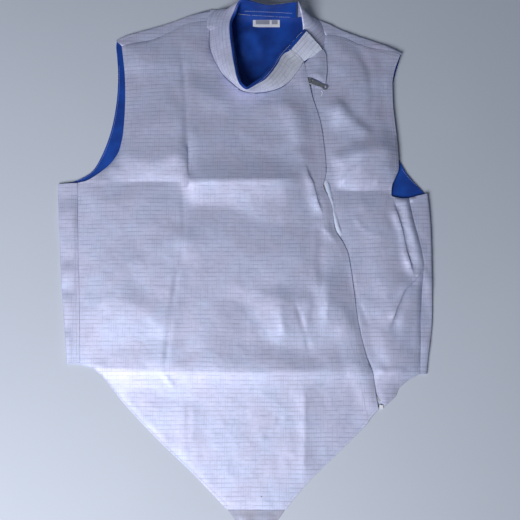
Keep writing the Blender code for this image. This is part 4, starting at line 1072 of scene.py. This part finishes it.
make_teeth()
zip_tape = rounded_copy("zip_tape", "zip_tape_cloth", TAPE, 3)
# Middle of the tape that shows beside the placket, in pixels, and how far it bulges up there
TAPE_SHOWS = [(325.6, 177), (327.8, 186), (331.2, 201), (334.8, 217), (338.6, 230), (341.8, 239)]
TAPE_BULGE = 3.1
TAPE_HALF = 3.2


def tape_relief(point, normal):
    """The tape rises where it shows between the fronts."""
    best, share = 1e9, 0.0
    spots = [Vector(place(u, v)) for u, v in TAPE_SHOWS]
    for i, (a, b) in enumerate(zip(spots, spots[1:])):
        run = b - a
        t = min(max((Vector(point[:2]) - a).dot(run) / run.length_squared, 0.0), 1.0)
        away = (Vector(point[:2]) - a - run * t).length
        if away < best:
            best, share = away, (i + t) / (len(spots) - 1)
    ends = min(1.0, 6.0 * share, 6.0 * (1.0 - share))
    return (0, 0, TAPE_BULGE * ends * np.exp(-(best / TAPE_HALF) ** 4))


shape_points(zip_tape, tape_relief)
set_cloth(zip_tape)
for node, material in (("zip_slider", METAL), ("zip_pull", METAL), ("zip_box", MOULDING)):
    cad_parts[node].data.materials.clear()
    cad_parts[node].data.materials.append(material)

# Label

label = rounded_copy("neck_label", "neck_label_cloth", LABEL, 3, 30.0)
set_cloth(label)
LABEL_LOW, LABEL_HIGH = (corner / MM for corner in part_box("neck_label"))


def label_block(name, left, right, bottom, top):
    """A bare grey field woven into the label."""
    width, height = LABEL_HIGH.x - LABEL_LOW.x, LABEL_HIGH.y - LABEL_LOW.y
    x0, x1 = LABEL_LOW.x + left * width, LABEL_LOW.x + right * width
    y0, y1 = LABEL_LOW.y + bottom * height, LABEL_LOW.y + top * height
    corners = []
    for z, inset in ((LABEL_HIGH.z - 0.05, 0.0), (LABEL_HIGH.z + 0.08, 0.15)):
        corners += [(x0 + inset, y0 + inset, z), (x1 - inset, y0 + inset, z), (x1 - inset, y1 - inset, z),
                    (x0 + inset, y1 - inset, z)]
    faces = [(3, 2, 1, 0), (4, 5, 6, 7)] + [(i, (i + 1) % 4, (i + 1) % 4 + 4, i + 4) for i in range(4)]
    piece = new_object(name, corners, faces, LABEL_GREY)
    piece.data.shade_flat()
    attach(piece, "vest")
    return piece


label_blocks = [label_block("label_field", 0.1, 0.62, 0.3, 0.82), label_block("label_square", 0.7, 0.92, 0.3, 0.82)]

# Sewing


def sewing(name, material, rows, surface, pitch=3.4, length=2.3, radius=0.24):
    """Rows of stitches along pixels of the picture, as one piece on the surface that shows there."""
    corners, faces = [], []
    for path in rows:
        spots = [hit for hit in (seen(surface, *p)[0] for p in curve(path, 1.5)) if hit is not None]
        line = even(spots, pitch)
        for a, b in zip(line, line[1:]):
            spot, normal, _, _ = surface.find_nearest((a + b) / 2)
            ahead = b - a
            ahead = (ahead - normal * ahead.dot(normal)).normalized()
            if normal.dot(EYE - spot) > 0 and (b - a).length < 1.6 * pitch:
                add_stitch(corners, faces, spot + normal * radius * 0.5, ahead, normal, length, radius)
    piece = new_object(name, corners, faces, material)
    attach(piece, "vest")
    return piece


body = search_tree(front_right, front_left, back, zip_flap, back_lining, *collar.values(), collar_edge)
HEM_ROWS = [
    [(92, 367.5), (103.5, 376.5), (127.5, 405.5), (160, 440), (192.5, 471), (228, 506)],
    [(284.5, 506.5), (307, 480), (339.5, 448), (363.5, 423.5), (369, 415.5), (376, 408.5)],
    [(387, 401), (391.5, 396.5), (396, 388), (405, 379.5), (416, 375), (425, 371.5)],
    [(66.5, 360.8), (78.5, 360.8)],
]
PLACKET_ROWS = [
    [(297, 78), (303, 110), (310.5, 148), (313.5, 172), (316, 185), (322, 212), (327.5, 238), (334.5, 254),
     (340, 280), (345, 319), (350, 341), (356, 362), (361.8, 389), (365.9, 410), (369, 419)],
    [(306, 78), (312.5, 110), (320, 148), (323, 171)],
    [(328.5, 222), (333, 236), (341, 252), (347, 279), (352, 318), (356.5, 340), (362, 361), (368, 374),
     (371.5, 396), (374, 407)],
]
SIDE_ROWS = [
    [(126.5, 46), (127.5, 71), (127.5, 95), (126.5, 118), (124.5, 139), (121, 152), (112, 166.5), (98, 178.5)],
    [(397, 60), (391.5, 74), (389.5, 94), (390.3, 109), (392.7, 130), (394.5, 144), (395.5, 168), (389, 184)],
    [(411.5, 204), (415.5, 221), (421.5, 245), (425.5, 258), (426.2, 268), (424, 290), (423.5, 330), (422.5, 370)],
    [(393.5, 199.5), (406, 200.8), (417, 197.8)],
    [(75.8, 190), (74.8, 230), (75.2, 270), (76, 320), (76.6, 358)],
]
SHOULDER_ROWS = [
    [(124, 48.5), (151.5, 43), (165.5, 37.5), (177, 31.3), (190, 25.3), (208, 23.7)],
    [(331, 38.5), (345, 41), (356, 46), (375, 51.5), (399, 57.8)],
]
COLLAR_ROWS = [
    [(231.8, 26), (232.8, 38), (235.8, 56), (238.6, 72), (241.5, 81.5)],
    [(288.8, 49.5), (296.5, 55), (302.8, 61.5)],
    [(305, 33), (321.5, 49.6), (304.8, 59.5)],
    [(214.5, 12), (213.4, 30), (212.8, 45), (217, 57.5), (223, 69), (228.5, 75.5), (236, 82), (243, 87.3)],
]
FLAP_ROWS = [[(320.6, 52), (323, 58), (323.8, 70), (322.8, 81)]]
LINING_ROWS = [
    [(244.5, 11.1), (268, 12), (292.8, 13.3)],
    [(239.5, 14.6), (265.7, 16), (290, 17.3)],
    [(253, 86.6), (262.5, 79.6), (272.8, 68.2), (280.2, 56), (289, 46), (298.3, 35.6), (303.5, 31)],
]
ARMHOLE_ROWS = [
    [(119.2, 66), (119.2, 89), (116.5, 112), (111.5, 134.8), (102.5, 157.5), (92, 172.8), (76, 181.5)],
    [(401.8, 169), (408, 177), (417, 185.8), (424, 191)],
]
hem_stitches = sewing("hem_stitches", GREY_THREAD, HEM_ROWS, body)
placket_stitches = sewing("placket_stitches", GREY_THREAD, PLACKET_ROWS, body)
side_stitches = sewing("side_stitches", GREY_THREAD, SIDE_ROWS, body)
shoulder_stitches = sewing("shoulder_stitches", GREY_THREAD, SHOULDER_ROWS, body)
collar_stitches = sewing("collar_stitches", WHITE_THREAD, COLLAR_ROWS, body, 2.6, 1.8, 0.2)
flap_stitches = sewing("flap_stitches", GREY_THREAD, FLAP_ROWS, body, 2.6, 1.8, 0.2)
lining_stitches = sewing("lining_stitches", WHITE_THREAD, LINING_ROWS, body, 2.6, 1.6, 0.2)
armhole_stitches = sewing("armhole_stitches", PALE_BLUE_THREAD, ARMHOLE_ROWS, body, 2.8, 2.0, 0.2)

sewing("pull_thread", WHITE_THREAD, [[(321.2, 90.8), (322.8, 92.6), (321.4, 95.4)]], body, 1.6, 2.4, 0.5)
TAPE_ROWS = [[(326.8, 180), (328.2, 187)], [(330.4, 195), (333.6, 205)]]
tape_stitches = sewing("tape_stitches", WHITE_THREAD, TAPE_ROWS, search_tree(zip_tape), 4.0, 2.6, 0.26)

# Stage

FLOOR_HALF = 4.0
FLOOR_LEVEL = -0.0002
FLOOR_TONES = ((0.475, 0.527, 0.62, 1), (0.50, 0.552, 0.645, 1))
WORLD_COLOUR, WORLD_STRENGTH = (0.72, 0.8, 0.95, 1), 0.13


def make_floor():
    s = Shader("floor")
    spot = s.add("ShaderNodeTexCoord", {}).outputs["Object"]
    tone = s.ramp(s.noise(spot, 2.0, 3.0), 0.3, 0.7)
    material = s.finish(s.mix(tone, *FLOOR_TONES), 0.75)
    mesh = bpy.data.meshes.new("floor")
    corners = [(x * FLOOR_HALF, y * FLOOR_HALF, FLOOR_LEVEL) for x, y in ((-1, -1), (1, -1), (1, 1), (-1, 1))]
    mesh.from_pydata(corners, [], [(0, 1, 2, 3)])
    mesh.materials.append(material)
    floor = add_object("floor", mesh)


def make_lamp(name, spot, size, power, colour):
    data = bpy.data.lights.new(name, "AREA")
    data.shape = "DISK"
    data.size = size
    data.energy = power
    data.color = colour
    lamp = add_object(name, data)
    lamp.location = spot
    lamp.rotation_euler = (Vector((0, 0, 0)) - Vector(spot)).to_track_quat("-Z", "Y").to_euler()


def make_camera():
    data = bpy.data.cameras.new("camera")
    data.lens = 36.0 * LENS_PIXELS / PICTURE
    data.sensor_width = 36.0
    camera = add_object("camera", data)
    camera.location = EYE * MM
    camera.rotation_euler = (TILT, 0.0, 0.0)
    bpy.context.scene.camera = camera


def make_world():
    world = bpy.data.worlds.new("studio")
    world.use_nodes = True
    background = world.node_tree.nodes["Background"]
    background.inputs["Color"].default_value = WORLD_COLOUR
    background.inputs["Strength"].default_value = WORLD_STRENGTH
    bpy.context.scene.world = world


make_floor()
make_lamp("key", (-0.75, -0.96, 1.18), 1.05, 33.0, (1.0, 0.985, 0.99))
make_camera()
make_world()
bpy.context.scene.view_settings.view_transform = "Standard"
